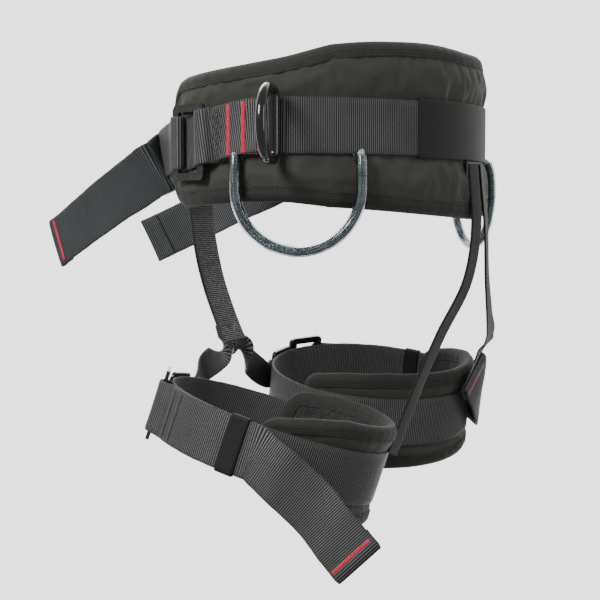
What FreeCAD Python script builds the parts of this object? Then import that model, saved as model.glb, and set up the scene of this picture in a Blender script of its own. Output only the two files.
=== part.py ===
import FreeCAD, Part
import Sketcher
import math
import os

from FreeCAD import Placement, Rotation, Vector

# Sit harness for work at height: a padded waist belt with side D-rings and gear
# loops, two padded leg loops, and the straps that join them.
# +Z is up, the wearer faces -Y and the wearer's left is +X. The origin is the centre
# of the waist, half way up the belt webbing. Lengths are in millimetres.

SIZES = {
    # The waist is an oval of four tangent arcs, measured on the outer webbing face.
    "side_centre": 75.0,
    "side_radius": 103.0,
    "waist_depth": 136.0,
    # Webbing and the layers of a pad, from the outside inwards.
    "web_width": 45.0,
    "web_thick": 2.4,
    "cover_thick": 1.0,
    "foam_thick": 7.6,
    "lining_thick": 1.0,
    "binding_width": 11.0,
    # Outline of the waist pad: height above and below the belt at each station.
    "pad_front": 78.0,
    "pad_side": 30.0,
    "pad_flank": 95.0,
    "pad_back": 150.0,
    "pad_front_top": 41.0,
    "pad_front_low": 61.0,
    "pad_side_top": 52.0,
    "pad_side_low": 58.0,
    "pad_flank_top": 69.0,
    "pad_flank_low": 67.0,
    "pad_back_top": 67.0,
    "pad_back_low": 74.0,
    "pad_corner": 24.0,
    "sleeve_thick": 1.2,
    "sleeve_height": 48.0,
    # Steel D-rings.
    "ring_rod": 4.0,
    "ring_half_height": 27.5,
    "ring_corner": 7.0,
    "ring_reach": 19.5,
    "ventral_half_width": 25.0,
    "ventral_reach": 16.0,
    "loop_play": 0.5,
    "loop_height": 42.0,
    # Steel buckle frames and plates.
    "steel_thick": 3.2,
    "steel_corner": 5.0,
    "bar_width": 8.0,
    "waist_frame_length": 42.0,
    "waist_frame_height": 61.0,
    "waist_plate_length": 38.0,
    "waist_plate_height": 51.0,
    "leg_frame_length": 40.0,
    "leg_frame_height": 60.0,
    "leg_plate_length": 34.0,
    "leg_plate_height": 50.0,
    "window_side": 6.0,
    # Gear loops: a cord inside a plastic tube.
    "tube_radius": 4.5,
    "tube_bore": 3.5,
    "cord_radius": 3.1,
    "gear_leg": 28.0,
    "gear_half_width": 50.0,
    # Leg loops.
    "leg_radius": 96.0,
    "leg_foam_thick": 5.6,
    "leg_pad_height": 88.0,
    "keeper_wall": 1.0,
    "keeper_play": 0.4,
    # Thread and elastic.
    "tack_width": 3.4,
    "tack_length": 41.0,
    "tack_thick": 0.8,
    "riser_width": 18.0,
    "riser_thick": 1.8,
}

# Angles of the outward normal round the waist, in degrees: 0 is the wearer's left,
# 90 the back and -90 the front. The right side mirrors them.
PAD_FRONT_ANGLE = -47.0
WEBBING_END_ANGLE = -42.0
SLEEVE_ANGLE = 60.0
RING_ANGLE = 16.5
RING_LEAN = -4.0
RING_LOOP_ANGLE = -13.0
RING_UNDER_ANGLE = 20.5
TACK_ANGLES = (-4.0, 3.0, 10.0)
FRAME_ANGLE = -27.0
LINK_ANGLES = (-42.5, -50.0)
PLATE_ANGLE = -60.0
FRONT_STRAP_ANGLE = -57.0
GEAR_ANGLES = {"left": (-1.0, 48.5), "right": (35.5, 66.0)}

# Heights of the middle of each piece, and gaps that keep faces apart.
FRAME_HEIGHT = -12.0
FRONT_HEIGHT = -22.0
GEAR_HEIGHT = -21.0
TRIM_GAP = 0.06
SIT_GAP = 0.5
GEAR_STAND_OFF = 8.5
TAB_SIZE = (10.0, 11.0, 3.0)
TAB_HEIGHT = -29.5
TAB_GAP = 0.2
ANCHOR_HEIGHT = -32.0
RISER_END_ANGLE = 112.0
FAR_RISER_END_ANGLE = 56.0

# Each leg loop: the middle of its ring, tilted so that the front is the higher.
LEG_TILTS = {"left": 17.0, "right": 8.0}
LEG_ROLL = 7.0
LEG_CENTRES = {"left": Vector(104, -6, -259), "right": Vector(-104, 0, -242)}
LEG_PAD_ANGLES = (12.5, 200.0)
LEG_DOUBLE_ANGLES = (-56.0, 9.5)
LEG_KEEPER_ANGLES = (-0.5, 8.5)
LEG_FRAME_ANGLE = -64.0
LEG_PLATE_ANGLE = -88.0
LEG_TACK_ANGLES = (-41.0, -34.0)
# The left tail hangs free: distance from its root and drop. The right one lies round the
# back of its leg and turns up: angle, distance out, height and lean of its width.
LEG_TAIL_DROOP = ((0, 0), (8, 0), (34, -8), (66, -21), (94, -36), (118, -49))
LEG_TAIL_WRAP = (
    (10.5, 1.6, 0.0, 0.0),
    (20.0, 2.9, 0.0, 0.0),
    (34.0, 5.0, -1.0, 0.0),
    (50.0, 8.0, -3.0, 0.0),
    (64.0, 9.5, -2.0, 0.15),
    (76.0, 10.0, 6.0, 0.5),
    (86.0, 10.5, 22.0, 0.8),
    (96.0, 11.0, 43.0, 0.8),
)
SIDES = {"left": 1, "right": -1}

doc = FreeCAD.newDocument("Harness")
sheet = doc.addObject("Spreadsheet::Sheet", "Sizes")
parts = []


class Length:
    """A number in millimetres together with the sheet expression that gives it."""

    def __init__(self, value, text):
        self.value = value
        self.text = text

    def __add__(self, other):
        return Length(self.value + plain(other), f"({self.text} + {worded(other)})")

    def __sub__(self, other):
        return Length(self.value - plain(other), f"({self.text} - {worded(other)})")

    def __mul__(self, factor):
        return Length(self.value * factor, f"({self.text} * {factor})")


def plain(length):
    return length.value if isinstance(length, Length) else float(length)


def worded(length):
    return length.text if isinstance(length, Length) else f"({float(length)})"


def fill_sheet():
    for row, (alias, value) in enumerate(SIZES.items(), start=1):
        sheet.set(f"A{row}", alias.replace("_", " "))
        sheet.set(f"B{row}", str(value))
        sheet.setAlias(f"B{row}", alias)
    doc.recompute()


def cell(alias):
    return Length(float(sheet.get(alias)), f"Sizes.{alias}")


def bind(obj, prop, length):
    """Set a property from the sheet and keep it bound to the sheet."""
    setattr(obj, prop, plain(length))
    if isinstance(length, Length):
        obj.setExpression(prop, length.text)


def named(obj, label):
    """Give a finished sub-part its own name and list it for writing."""
    obj.Label = label
    parts.append(obj)
    return obj


# ---------------------------------------------------------------- primitives


def cylinder(radius, height, place, angle=360.0):
    obj = doc.addObject("Part::Cylinder", "Cylinder")
    bind(obj, "Radius", radius)
    bind(obj, "Height", height)
    obj.Angle = angle
    obj.Placement = place
    return obj


def torus(ring, rod, place, sweep):
    obj = doc.addObject("Part::Torus", "Torus")
    bind(obj, "Radius1", ring)
    bind(obj, "Radius2", rod)
    obj.Angle3 = sweep
    obj.Placement = place
    return obj


def slab(length, width, height, place):
    """A box with its middle at the placement's own origin."""
    obj = doc.addObject("Part::Box", "Box")
    bind(obj, "Length", length)
    bind(obj, "Width", width)
    bind(obj, "Height", height)
    half = Vector(plain(length) / 2, plain(width) / 2, plain(height) / 2)
    obj.Placement = place * Placement(-half, Rotation())
    return obj


def cut(base, tool):
    obj = doc.addObject("Part::Cut", "Cut")
    obj.Base = base
    obj.Tool = tool
    return obj


def common(base, tool):
    obj = doc.addObject("Part::Common", "Common")
    obj.Base = base
    obj.Tool = tool
    return obj


def fuse(shapes):
    if len(shapes) == 1:
        return shapes[0]
    obj = doc.addObject("Part::MultiFuse", "Fusion")
    obj.Shapes = shapes
    obj.Refine = True
    return obj


def group(shapes):
    """Separate solids kept together as one sub-part, such as rows of stitching."""
    obj = doc.addObject("Part::Compound", "Group")
    obj.Links = shapes
    return obj


def axes_placement(origin, x_axis, y_axis):
    """A placement whose local X and Y point along the given directions."""
    x_axis = Vector(x_axis).normalize()
    z_axis = x_axis.cross(Vector(y_axis)).normalize()
    return Placement(origin, Rotation(x_axis, z_axis.cross(x_axis), z_axis, "ZXY"))


def around_z(centre, degrees, low):
    return Placement(Vector(centre.x, centre.y, low), Rotation(Vector(0, 0, 1), degrees))


# ---------------------------------------------------------------- bands of webbing


def ring_sector(place, radius, depth_out, depth_in, start, end, height):
    """Part of an upright ring, between two depths inside a reference radius."""
    first_edge = place * Placement(Vector(), Rotation(Vector(0, 0, 1), start))
    outer = cylinder(radius - depth_out, height, first_edge, end - start)
    inner = cylinder(radius - depth_in, height, place)
    return cut(outer, inner)


def oval_arcs():
    """The four tangent arcs of the waist: (centre, radius, first angle, last angle)."""
    side = cell("side_radius")
    centre = cell("side_centre").value
    rise = cell("waist_depth").value - side.value
    shift = (centre**2 - rise**2) / (2 * rise)
    long_radius = side + math.hypot(centre, shift)
    split = math.degrees(math.atan2(shift, centre))
    return (
        (Vector(centre, 0, 0), side, -split, split),
        (Vector(0, -shift, 0), long_radius, split, 180 - split),
        (Vector(-centre, 0, 0), side, 180 - split, 180 + split),
        (Vector(0, shift, 0), long_radius, 180 + split, 360 - split),
        (Vector(centre, 0, 0), side, 360 - split, 360 + split),
    )


def oval_point(angle, out=0.0, height=0.0):
    """The place on the waist where the outward normal has this angle."""
    angle = angle % 360
    for centre, radius, first, last in oval_arcs():
        if first <= angle <= last:
            reach = radius.value + out
            turn = math.radians(angle)
            return Vector(centre.x + reach * math.cos(turn), centre.y + reach * math.sin(turn), height)
    raise ValueError(f"no arc of the waist holds {angle} degrees")


def oval_band(start, end, depth_out, depth_in, middle, height):
    """A band round the waist from one angle to another."""
    if start < -90:
        start, end = start + 360, end + 360
    sectors = []
    arcs = oval_arcs()
    if start < 0:
        centre, radius, first, last = arcs[3]
        arcs = ((centre, radius, first - 360, last - 360),) + arcs[:4]
    for centre, radius, first, last in arcs:
        low, high = max(first, start), min(last, end)
        if high - low > 0.01:
            place = around_z(centre, 0, middle - plain(height) / 2)
            sectors.append(ring_sector(place, radius, depth_out, depth_in, low, high, height))
    return fuse(sectors)


def facing(point, angle):
    """A placement on the waist: local X runs round it, Y is up and Z points out."""
    turn = math.radians(angle)
    along = Vector(-math.sin(turn), math.cos(turn), 0)
    return axes_placement(point, along, Vector(0, 0, 1))


def turned(side, angle):
    """The same angle on the wearer's left, or its mirror image on the right."""
    return angle if side > 0 else 180 - angle


def span(side, first, last):
    """A range of angles on one side, in rising order."""
    return sorted((turned(side, first), turned(side, last)))


def strip(stations, width, thick):
    """A strip of webbing through stations, each a point and the direction of its width."""
    outlines = []
    points = [point for point, _ in stations]
    for index, (point, across) in enumerate(stations):
        before = points[max(index - 1, 0)]
        after = points[min(index + 1, len(points) - 1)]
        along = (after - before).normalize()
        normal = along.cross(Vector(across)).normalize() * (plain(thick) / 2)
        wide = normal.cross(along).normalize() * (plain(width) / 2)
        corners = [point + wide + normal, point - wide + normal, point - wide - normal, point + wide - normal]
        outlines.append(Part.makePolygon(corners + corners[:1]))
    obj = doc.addObject("Part::Feature", "Strip")
    obj.Shape = Part.makeLoft(outlines, True, True)
    return obj


# ---------------------------------------------------------------- sketched pieces


def origin_plane(body, role):
    return next(feature for feature in body.Origin.OriginFeatures if feature.Role == role)


def sketch_on(body, role, name):
    sketch = body.newObject("Sketcher::SketchObject", name)
    sketch.AttachmentSupport = [(origin_plane(body, role), "")]
    sketch.MapMode = "FlatFace"
    return sketch


def polygon(sketch, corners):
    """Draw a closed outline whose corners are each held at sheet distances from the origin."""
    first = sketch.GeometryCount
    count = len(corners)
    spots = [Vector(plain(x), plain(y), 0) for x, y in corners]
    for index in range(count):
        sketch.addGeometry(Part.LineSegment(spots[index], spots[(index + 1) % count]), False)
    for index in range(count):
        following = first + (index + 1) % count
        sketch.addConstraint(Sketcher.Constraint("Coincident", first + index, 2, following, 1))
    for index, (x, y) in enumerate(corners):
        for kind, length in (("DistanceX", x), ("DistanceY", y)):
            if plain(length) == 0:
                axis = -2 if kind == "DistanceX" else -1
                sketch.addConstraint(Sketcher.Constraint("PointOnObject", first + index, 1, axis))
                continue
            rule = Sketcher.Constraint(kind, -1, 1, first + index, 1, plain(length))
            number = sketch.addConstraint(rule)
            if isinstance(length, Length):
                sketch.setExpression(f"Constraints[{number}]", length.text)


def rectangle(x_low, x_high, y_low, y_high):
    return ((x_low, y_low), (x_high, y_low), (x_high, y_high), (x_low, y_high))


def padded_body(name, role, outlines, length, place, midplane=True):
    body = doc.addObject("PartDesign::Body", name)
    sketch = sketch_on(body, role, "Outline")
    for outline in outlines:
        polygon(sketch, outline)
    pad = body.newObject("PartDesign::Pad", "Pad")
    pad.Profile = sketch
    bind(pad, "Length", length)
    pad.Midplane = midplane
    body.Placement = place
    doc.recompute()
    return body, pad


def round_edges(body, feature, direction, spots, radius):
    """Round the edges that run along a direction through the given spots."""
    names = []
    for number, edge in enumerate(feature.Shape.Edges, start=1):
        ends = [vertex.Point for vertex in edge.Vertexes]
        if len(ends) < 2 or abs((ends[1] - ends[0]).normalize().dot(direction)) < 0.999:
            continue
        middle = (ends[0] + ends[1]) * 0.5
        if any((middle - spot).cross(direction).Length < 0.01 for spot in spots):
            names.append(f"Edge{number}")
    fillet = body.newObject("PartDesign::Fillet", "Corners")
    fillet.Base = (feature, names)
    bind(fillet, "Radius", radius)
    body.Tip = fillet
    doc.recompute()
    return fillet


def pad_outline(shrink):
    """The side view of the waist pad as a long bar across the wearer, rounded in front."""
    outline = (
        (cell("pad_front") * -1 + shrink, cell("pad_front_low") * -1 + shrink),
        (cell("pad_side"), cell("pad_side_low") * -1 + shrink),
        (cell("pad_flank"), cell("pad_flank_low") * -1 + shrink),
        (cell("pad_back"), cell("pad_back_low") * -1 + shrink),
        (cell("pad_back"), cell("pad_back_top") - shrink),
        (cell("pad_flank"), cell("pad_flank_top") - shrink),
        (cell("pad_side"), cell("pad_side_top") - shrink),
        (cell("pad_front") * -1 + shrink, cell("pad_front_top") - shrink),
    )
    reach = (cell("side_centre") + cell("side_radius")) * 2.4
    body, pad = padded_body("PadOutline", "YZ_Plane", [outline], reach, Placement())
    spots = [Vector(0, plain(x), plain(y)) for x, y in (outline[0], outline[-1])]
    round_edges(body, pad, Vector(1, 0, 0), spots, cell("pad_corner") - shrink * 0.8)
    return body


def steel_plate(name, length, height, place, bars):
    """A flat steel buckle part with slots between its bars, given as spans of its length."""
    side = cell("window_side")
    outlines = [rectangle(length * -0.5, length * 0.5, height * -0.5, height * 0.5)]
    for first, last in bars:
        outlines.append(rectangle(first, last, height * -0.5 + side, height * 0.5 - side))
    body, pad = padded_body(name, "XY_Plane", outlines, cell("steel_thick"), place)
    half = [length.value / 2, height.value / 2]
    spots = [Vector(x * half[0], y * half[1], 0) for x in (-1, 1) for y in (-1, 1)]
    round_edges(body, pad, Vector(0, 0, 1), spots, cell("steel_corner"))
    return body


# ---------------------------------------------------------------- waist


def make_waist_pad():
    outline = pad_outline(0)
    inside = pad_outline(cell("binding_width"))
    web = cell("web_thick")
    foam_top = web + cell("cover_thick")
    foam_low = foam_top + cell("foam_thick")
    lining_low = foam_low + cell("lining_thick")
    tall = (cell("pad_back_top") + cell("pad_back_low")) * 1.2
    end = PAD_FRONT_ANGLE
    layers = (
        ("back_pad_cover", web, foam_top),
        ("back_pad", foam_top, foam_low),
        ("back_pad_lining", foam_low, lining_low),
    )
    for label, outer, inner in layers:
        named(common(oval_band(end, 180 - end, outer, inner, 0, tall), inside), label)
    edge = common(oval_band(end, 180 - end, web, lining_low, 0, tall), outline)
    middle = common(oval_band(end, 180 - end, web, lining_low, 0, tall), inside)
    named(cut(edge, middle), "back_pad_binding")


def make_belt():
    web = cell("web_thick")
    width = cell("web_width")
    named(oval_band(WEBBING_END_ANGLE, 180 - WEBBING_END_ANGLE, 0, web, 0, width), "belt_webbing")
    sleeve = cell("sleeve_thick") * -1
    tall = cell("sleeve_height")
    named(oval_band(SLEEVE_ANGLE, 180 - SLEEVE_ANGLE, sleeve, 0, 0, tall), "back_sleeve")
    first = FRONT_STRAP_ANGLE + 360
    last = 180 - FRONT_STRAP_ANGLE
    named(oval_band(last, first, 0, web, FRONT_HEIGHT, width), "front_strap")


def ring_bar_offset():
    """How far a D-ring's straight bar stands out from the webbing under its loop."""
    return plain(cell("ring_rod") + cell("loop_play") + cell("web_thick")) + 0.3


def d_ring(place, half, reach):
    """A D-ring: local X points away from its straight bar, which lies along local Y."""
    rod = cell("ring_rod")
    corner = cell("ring_corner")
    straight = half - corner
    bar_end = Placement(Vector(0, -straight.value, 0), Rotation(Vector(1, 0, 0), -90))
    pieces = [cylinder(rod, straight * 2, place * bar_end)]
    for sign in (1, -1):
        start = 90 if sign > 0 else 180
        bend = Vector(corner.value, sign * straight.value, 0)
        at_corner = Placement(bend, Rotation(Vector(0, 0, 1), start))
        pieces.append(torus(corner, rod, place * at_corner, 90))
        along = Placement(Vector(corner.value, sign * half.value, 0), Rotation(Vector(0, 1, 0), 90))
        pieces.append(cylinder(rod, reach - corner, place * along))
    bow = Placement(Vector(reach.value, 0, 0), Rotation(Vector(0, 0, 1), -90))
    pieces.append(torus(half, rod, place * bow, 180))
    return fuse(pieces)


def bar_sleeve(place, length):
    """Webbing wrapped round a straight bar that lies along local Y."""
    inner = cell("ring_rod") + cell("loop_play")
    end = place * Placement(Vector(0, -plain(length) / 2, 0), Rotation(Vector(1, 0, 0), -90))
    return cut(cylinder(inner + cell("web_thick"), length, end), cylinder(inner, length, end))


def make_side_rings():
    tall = cell("loop_height")
    for name, side in SIDES.items():
        angle = turned(side, RING_ANGLE)
        bar = oval_point(angle, ring_bar_offset())
        lean = math.radians(turned(side, RING_ANGLE + RING_LEAN))
        outward = Vector(math.cos(lean), math.sin(lean), 0)
        place = axes_placement(bar, outward, Vector(0, 0, 1))
        named(d_ring(place, cell("ring_half_height"), cell("ring_reach")), f"d_ring_{name}")
        bar_reach = plain(cell("ring_rod") + cell("loop_play"))
        near_bar = RING_ANGLE - math.degrees(bar_reach / cell("side_radius").value)
        first, last = span(side, RING_LOOP_ANGLE, near_bar - 0.6)
        doubled = oval_band(first, last, cell("web_thick") * -2, 0, 0, tall)
        first, last = span(side, RING_LOOP_ANGLE, RING_UNDER_ANGLE)
        under_bar = oval_band(first, last, cell("web_thick") * -1, 0, 0, tall)
        named(fuse([doubled, under_bar]), f"d_ring_loop_{name}")


def tack(place):
    """One bar of dense stitching lying on webbing, across its width."""
    return slab(cell("tack_width"), cell("tack_length"), cell("tack_thick"), place)


def make_waist_tacks():
    tacks = []
    out = plain(cell("web_thick")) * 2 + plain(cell("tack_thick")) / 2 + TRIM_GAP
    for side in SIDES.values():
        for mark in TACK_ANGLES:
            angle = turned(side, mark)
            tacks.append(tack(facing(oval_point(angle, out), angle)))
    named(group(tacks), "waist_bartacks")


def make_waist_buckles():
    length, height = cell("waist_frame_length"), cell("waist_frame_height")
    short, low = cell("waist_plate_length"), cell("waist_plate_height")
    bar = cell("bar_width")
    out = plain(cell("steel_thick")) / 2 + SIT_GAP
    over_webbing = out + cell("web_thick").value
    for name, side in SIDES.items():
        angle = turned(side, FRAME_ANGLE)
        place = facing(oval_point(angle, over_webbing, FRAME_HEIGHT), angle)
        window = [(length * -0.5 + bar, length * 0.5 - bar)]
        named(steel_plate("Frame", length, height, place, window), f"waist_frame_{name}")
        angle = turned(side, PLATE_ANGLE)
        place = facing(oval_point(angle, out, FRONT_HEIGHT), angle)
        slots = [(short * -0.5 + bar, bar * -0.5), (bar * 0.5, short * 0.5 - bar)]
        named(steel_plate("Plate", short, low, place, slots), f"waist_plate_{name}")
        stations = []
        for mark in (LINK_ANGLES[0], sum(LINK_ANGLES) / 2, LINK_ANGLES[1]):
            share = (mark - LINK_ANGLES[0]) / (LINK_ANGLES[1] - LINK_ANGLES[0])
            level = FRAME_HEIGHT + share * (FRONT_HEIGHT - FRAME_HEIGHT) * 0.5
            stations.append((oval_point(turned(side, mark), 2.0, level), Vector(0, 0, 1)))
        named(strip(stations, cell("web_width"), cell("web_thick")), f"front_link_{name}")


def make_waist_tails():
    for name, side in SIDES.items():
        root = Vector(side * 139.5, -93.5, -30)
        route = (
            root,
            Vector(side * 124, -138, -50),
            Vector(side * 107, -184, -73),
            Vector(side * 88, -231, -97),
        )
        stations = [(point, Vector(0, 0, 1)) for point in route]
        named(strip(stations, cell("web_width"), cell("web_thick")), f"waist_tail_{name}")


def gear_ends(name, side):
    """The two upper ends of one gear loop, front end first on the left side."""
    ends = [oval_point(turned(side, mark), GEAR_STAND_OFF, GEAR_HEIGHT) for mark in GEAR_ANGLES[name]]
    return ends if side > 0 else ends[::-1]


def gear_loop(place, radius, extra):
    """A round bar bent to a U that hangs below local X. A negative extra shortens its legs."""
    half = cell("gear_half_width")
    leg = cell("gear_leg")
    bend = Placement(Vector(0, -leg.value, 0), Rotation(Vector(0, 0, 1), 180))
    pieces = [torus(half, radius, place * bend, 180)]
    for sign in (-1, 1):
        foot = Placement(Vector(sign * half.value, -leg.value, 0), Rotation(Vector(1, 0, 0), -90))
        pieces.append(cylinder(radius, leg + extra, place * foot))
    return fuse(pieces)


def make_gear_loops():
    for name, side in SIDES.items():
        first, last = gear_ends(name, side)
        middle = (first + last) * 0.5
        place = axes_placement(middle, last - first, Vector(0, 0, 1))
        outer = gear_loop(place, cell("tube_radius"), -3.0)
        bore = gear_loop(place, cell("tube_bore"), -2.0)
        named(cut(outer, bore), f"gear_loop_tube_{name}")
        named(gear_loop(place, cell("cord_radius"), -1.2), f"gear_loop_cord_{name}")
        tabs = []
        for mark in GEAR_ANGLES[name]:
            angle = turned(side, mark)
            out = TAB_SIZE[2] / 2 + TAB_GAP - cell("web_thick").value
            tabs.append(slab(*TAB_SIZE, facing(oval_point(angle, out, TAB_HEIGHT), angle)))
        named(group(tabs), f"gear_loop_tabs_{name}")


def make_front():
    """The front of the harness: the ventral ring in its loop, and the riser to the legs."""
    web = cell("web_thick")
    bar = oval_point(-90, ring_bar_offset(), FRONT_HEIGHT)
    place = axes_placement(bar, Vector(0, -1, -0.9), Vector(1, 0, 0))
    named(d_ring(place, cell("ventral_half_width"), cell("ventral_reach")), "ventral_ring")
    named(bar_sleeve(place, cell("ventral_half_width") * 1.3), "ventral_loop")
    up = Vector(1, 0, 0)
    face = -cell("waist_depth").value
    route = (
        Vector(0, face + 6, -50),
        Vector(0, face + 11, -90),
        Vector(0, face + 20, -130),
        Vector(0, face + 33, -165),
    )
    named(strip([(point, up) for point in route], cell("web_width"), web), "front_riser")


def riser_routes(legs):
    """Each riser from the centre of the back of the belt down to its leg loop."""
    near_end = legs["left"].multVec(leg_point(1, RISER_END_ANGLE, 4.0, 34))
    far_end = legs["right"].multVec(leg_point(-1, FAR_RISER_END_ANGLE, 9.0, 40))
    return {
        "left": (
            Vector(11, 138.5, -31),
            Vector(13, 141, -75),
            Vector(20, 137, -125),
            Vector(38, 120, -172),
            near_end,
        ),
        "right": (
            Vector(-11, 138.5, -31),
            Vector(-13, 141, -75),
            Vector(-28, 140, -125),
            Vector(-60, 133, -160),
            Vector(-120, 114, -188),
            far_end,
        ),
    }


def make_risers(legs):
    anchor = Placement(oval_point(90, -0.6, ANCHOR_HEIGHT), Rotation())
    named(slab(cell("riser_width") * 2.4, 1.6, 14.0, anchor), "riser_anchor")
    for name, route in riser_routes(legs).items():
        stations = [(point, Vector(SIDES[name], -0.15, 0)) for point in route]
        named(strip(stations, cell("riser_width"), cell("riser_thick")), f"riser_{name}")


# ---------------------------------------------------------------- leg loops


def leg_band(leg, side, angles, depth_out, depth_in, height, middle=0.0):
    """A band round one leg, in the leg loop's own tilted frame."""
    first, last = span(side, *angles)
    place = leg * Placement(Vector(0, 0, middle - plain(height) / 2), Rotation())
    return ring_sector(place, cell("leg_radius"), depth_out, depth_in, first, last, height)


def leg_point(side, angle, out, height=0.0):
    turn = math.radians(turned(side, angle))
    reach = cell("leg_radius").value + out
    return Vector(reach * math.cos(turn), reach * math.sin(turn), height)


def make_leg_pad(name, side, leg):
    web = cell("web_thick")
    foam_top = web + cell("cover_thick")
    foam_low = foam_top + cell("leg_foam_thick")
    lining_low = foam_low + cell("lining_thick")
    edge = cell("binding_width")
    tall = cell("leg_pad_height")
    inner_tall = tall - edge * 2
    edge_angle = math.degrees(edge.value / cell("leg_radius").value)
    first, last = LEG_PAD_ANGLES
    inside = (first + edge_angle, last - edge_angle)
    named(leg_band(leg, side, inside, web, foam_top, inner_tall), f"leg_pad_cover_{name}")
    named(leg_band(leg, side, inside, foam_top, foam_low, inner_tall), f"leg_pad_{name}")
    named(leg_band(leg, side, inside, foam_low, lining_low, inner_tall), f"leg_pad_lining_{name}")
    rims = []
    for sign in (1, -1):
        middle = sign * (tall.value - edge.value) / 2
        rims.append(leg_band(leg, side, LEG_PAD_ANGLES, web, lining_low, edge, middle))
    rims.append(leg_band(leg, side, (first, inside[0]), web, lining_low, inner_tall))
    rims.append(leg_band(leg, side, (inside[1], last), web, lining_low, inner_tall))
    named(fuse(rims), f"leg_pad_binding_{name}")


def make_leg_webbing(name, side, leg):
    web = cell("web_thick")
    width = cell("web_width")
    loop = leg_band(leg, side, (-180.0, 180.0), 0, web, width)
    double = leg_band(leg, side, LEG_DOUBLE_ANGLES, web * -1, 0, width)
    named(fuse([loop, double]), f"leg_webbing_{name}")


def make_leg_keeper(name, side, leg):
    web = cell("web_thick")
    play = cell("keeper_play")
    wall = cell("keeper_wall")
    first, last = LEG_KEEPER_ANGLES
    hole_top = (web + play) * -1
    hole_low = web + play
    hole_tall = cell("web_width") + play * 2
    shell = leg_band(leg, side, (first, last), hole_top - wall, hole_low + wall, hole_tall + wall * 2)
    hole = leg_band(leg, side, (first - 2, last + 2), hole_top, hole_low, hole_tall)
    named(cut(shell, hole), f"leg_keeper_{name}")


def make_leg_buckle(name, side, leg):
    bar = cell("bar_width")
    half_thick = plain(cell("steel_thick")) / 2
    pieces = (
        ("leg_frame", LEG_FRAME_ANGLE, 3.2, "leg_frame_length", "leg_frame_height"),
        ("leg_plate", LEG_PLATE_ANGLE, 0.4, "leg_plate_length", "leg_plate_height"),
    )
    for label, mark, clear, length_name, height_name in pieces:
        length, height = cell(length_name), cell(height_name)
        angle = turned(side, mark)
        place = leg * facing(leg_point(side, mark, half_thick + clear), angle)
        window = [(length * -0.5 + bar, length * 0.5 - bar)]
        named(steel_plate(label.title().replace("_", ""), length, height, place, window), f"{label}_{name}")


def make_leg_tail(name, side, leg):
    """The free end of the leg strap: it droops on the left, and lies round the leg on the right."""
    up = leg.Rotation.multVec(Vector(0, 0, 1))
    root_angle = LEG_DOUBLE_ANGLES[1] + 1.0
    stations = []
    if name == "left":
        turn = math.radians(root_angle)
        start = leg_point(side, root_angle, 1.2)
        slant = Vector(-side * math.sin(turn) * 0.15, math.cos(turn), 0)
        for along, rise in LEG_TAIL_DROOP:
            stations.append((leg.multVec(start + slant * along + Vector(0, 0, rise)), up))
    else:
        for angle, out, height, lean in LEG_TAIL_WRAP:
            turn = math.radians(turned(side, angle))
            around = leg.Rotation.multVec(Vector(math.sin(turn), -math.cos(turn), 0))
            across = around * -lean + up * math.sqrt(1 - lean**2)
            stations.append((leg.multVec(leg_point(side, angle, out, height)), across))
    named(strip(stations, cell("web_width"), cell("web_thick")), f"leg_tail_{name}")


def make_leg_tacks(name, side, leg):
    out = plain(cell("web_thick")) + plain(cell("tack_thick")) / 2 + TRIM_GAP
    tacks = []
    for mark in LEG_TACK_ANGLES:
        place = leg * facing(leg_point(side, mark, out), turned(side, mark))
        tacks.append(tack(place))
    named(group(tacks), f"leg_bartacks_{name}")


def make_leg_link(name, side, leg):
    """The short strap from the foot of the front riser to the front of one leg loop."""
    end = leg.multVec(leg_point(side, -104, 5.5, 4.0))
    start = Vector(side * 12, -96, -186)
    middle = (start + end) * 0.5 + Vector(0, -5, -3)
    across = Vector(-side * 0.5, 0, 1)
    stations = [(start, across), (middle, across), (end, across)]
    named(strip(stations, cell("web_width") * 0.55, cell("web_thick")), f"leg_link_{name}")


def make_legs(legs):
    for name, side in SIDES.items():
        leg = legs[name]
        make_leg_webbing(name, side, leg)
        make_leg_pad(name, side, leg)
        make_leg_keeper(name, side, leg)
        make_leg_buckle(name, side, leg)
        make_leg_tail(name, side, leg)
        make_leg_tacks(name, side, leg)
        make_leg_link(name, side, leg)


# ---------------------------------------------------------------- writing


def check_and_write():
    doc.recompute()
    for obj in doc.Objects:
        if {"Invalid", "Error"} & set(obj.State):
            raise RuntimeError(f"{obj.Label} ({obj.TypeId}) failed: {obj.State}")
    os.makedirs("parts", exist_ok=True)
    for obj in parts:
        shape = obj.Shape
        if shape.isNull() or not shape.isValid() or not shape.Solids:
            raise RuntimeError(f"{obj.Label} has no valid solid")
    for obj in parts:
        obj.Shape.exportStep(f"parts/{obj.Label}.step")
        box_mm = obj.Shape.BoundBox
        volume = obj.Shape.Volume / 1000
        print(f"{obj.Label:24s} {volume:8.2f} cm3  solids {len(obj.Shape.Solids)}  {box_mm}")


fill_sheet()
leg_frames = {
    name: Placement(
        LEG_CENTRES[name],
        Rotation(Vector(1, 0, 0), -LEG_TILTS[name]) * Rotation(Vector(0, 1, 0), -side * LEG_ROLL),
    )
    for name, side in SIDES.items()
}
make_waist_pad()
make_belt()
make_side_rings()
make_waist_tacks()
make_waist_buckles()
make_waist_tails()
make_gear_loops()
make_front()
make_risers(leg_frames)
make_legs(leg_frames)
check_and_write()
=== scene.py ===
"""Sit harness for work at height: the visible model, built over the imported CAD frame.

Lengths inside the classes are in millimetres, in the part's own frame: +Z up, the wearer
faces -Y and the wearer's left is +X. They become metres when a piece is made.
"""

import logging
import math
from dataclasses import dataclass, field
from enum import Enum
from typing import Callable, Sequence

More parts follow.
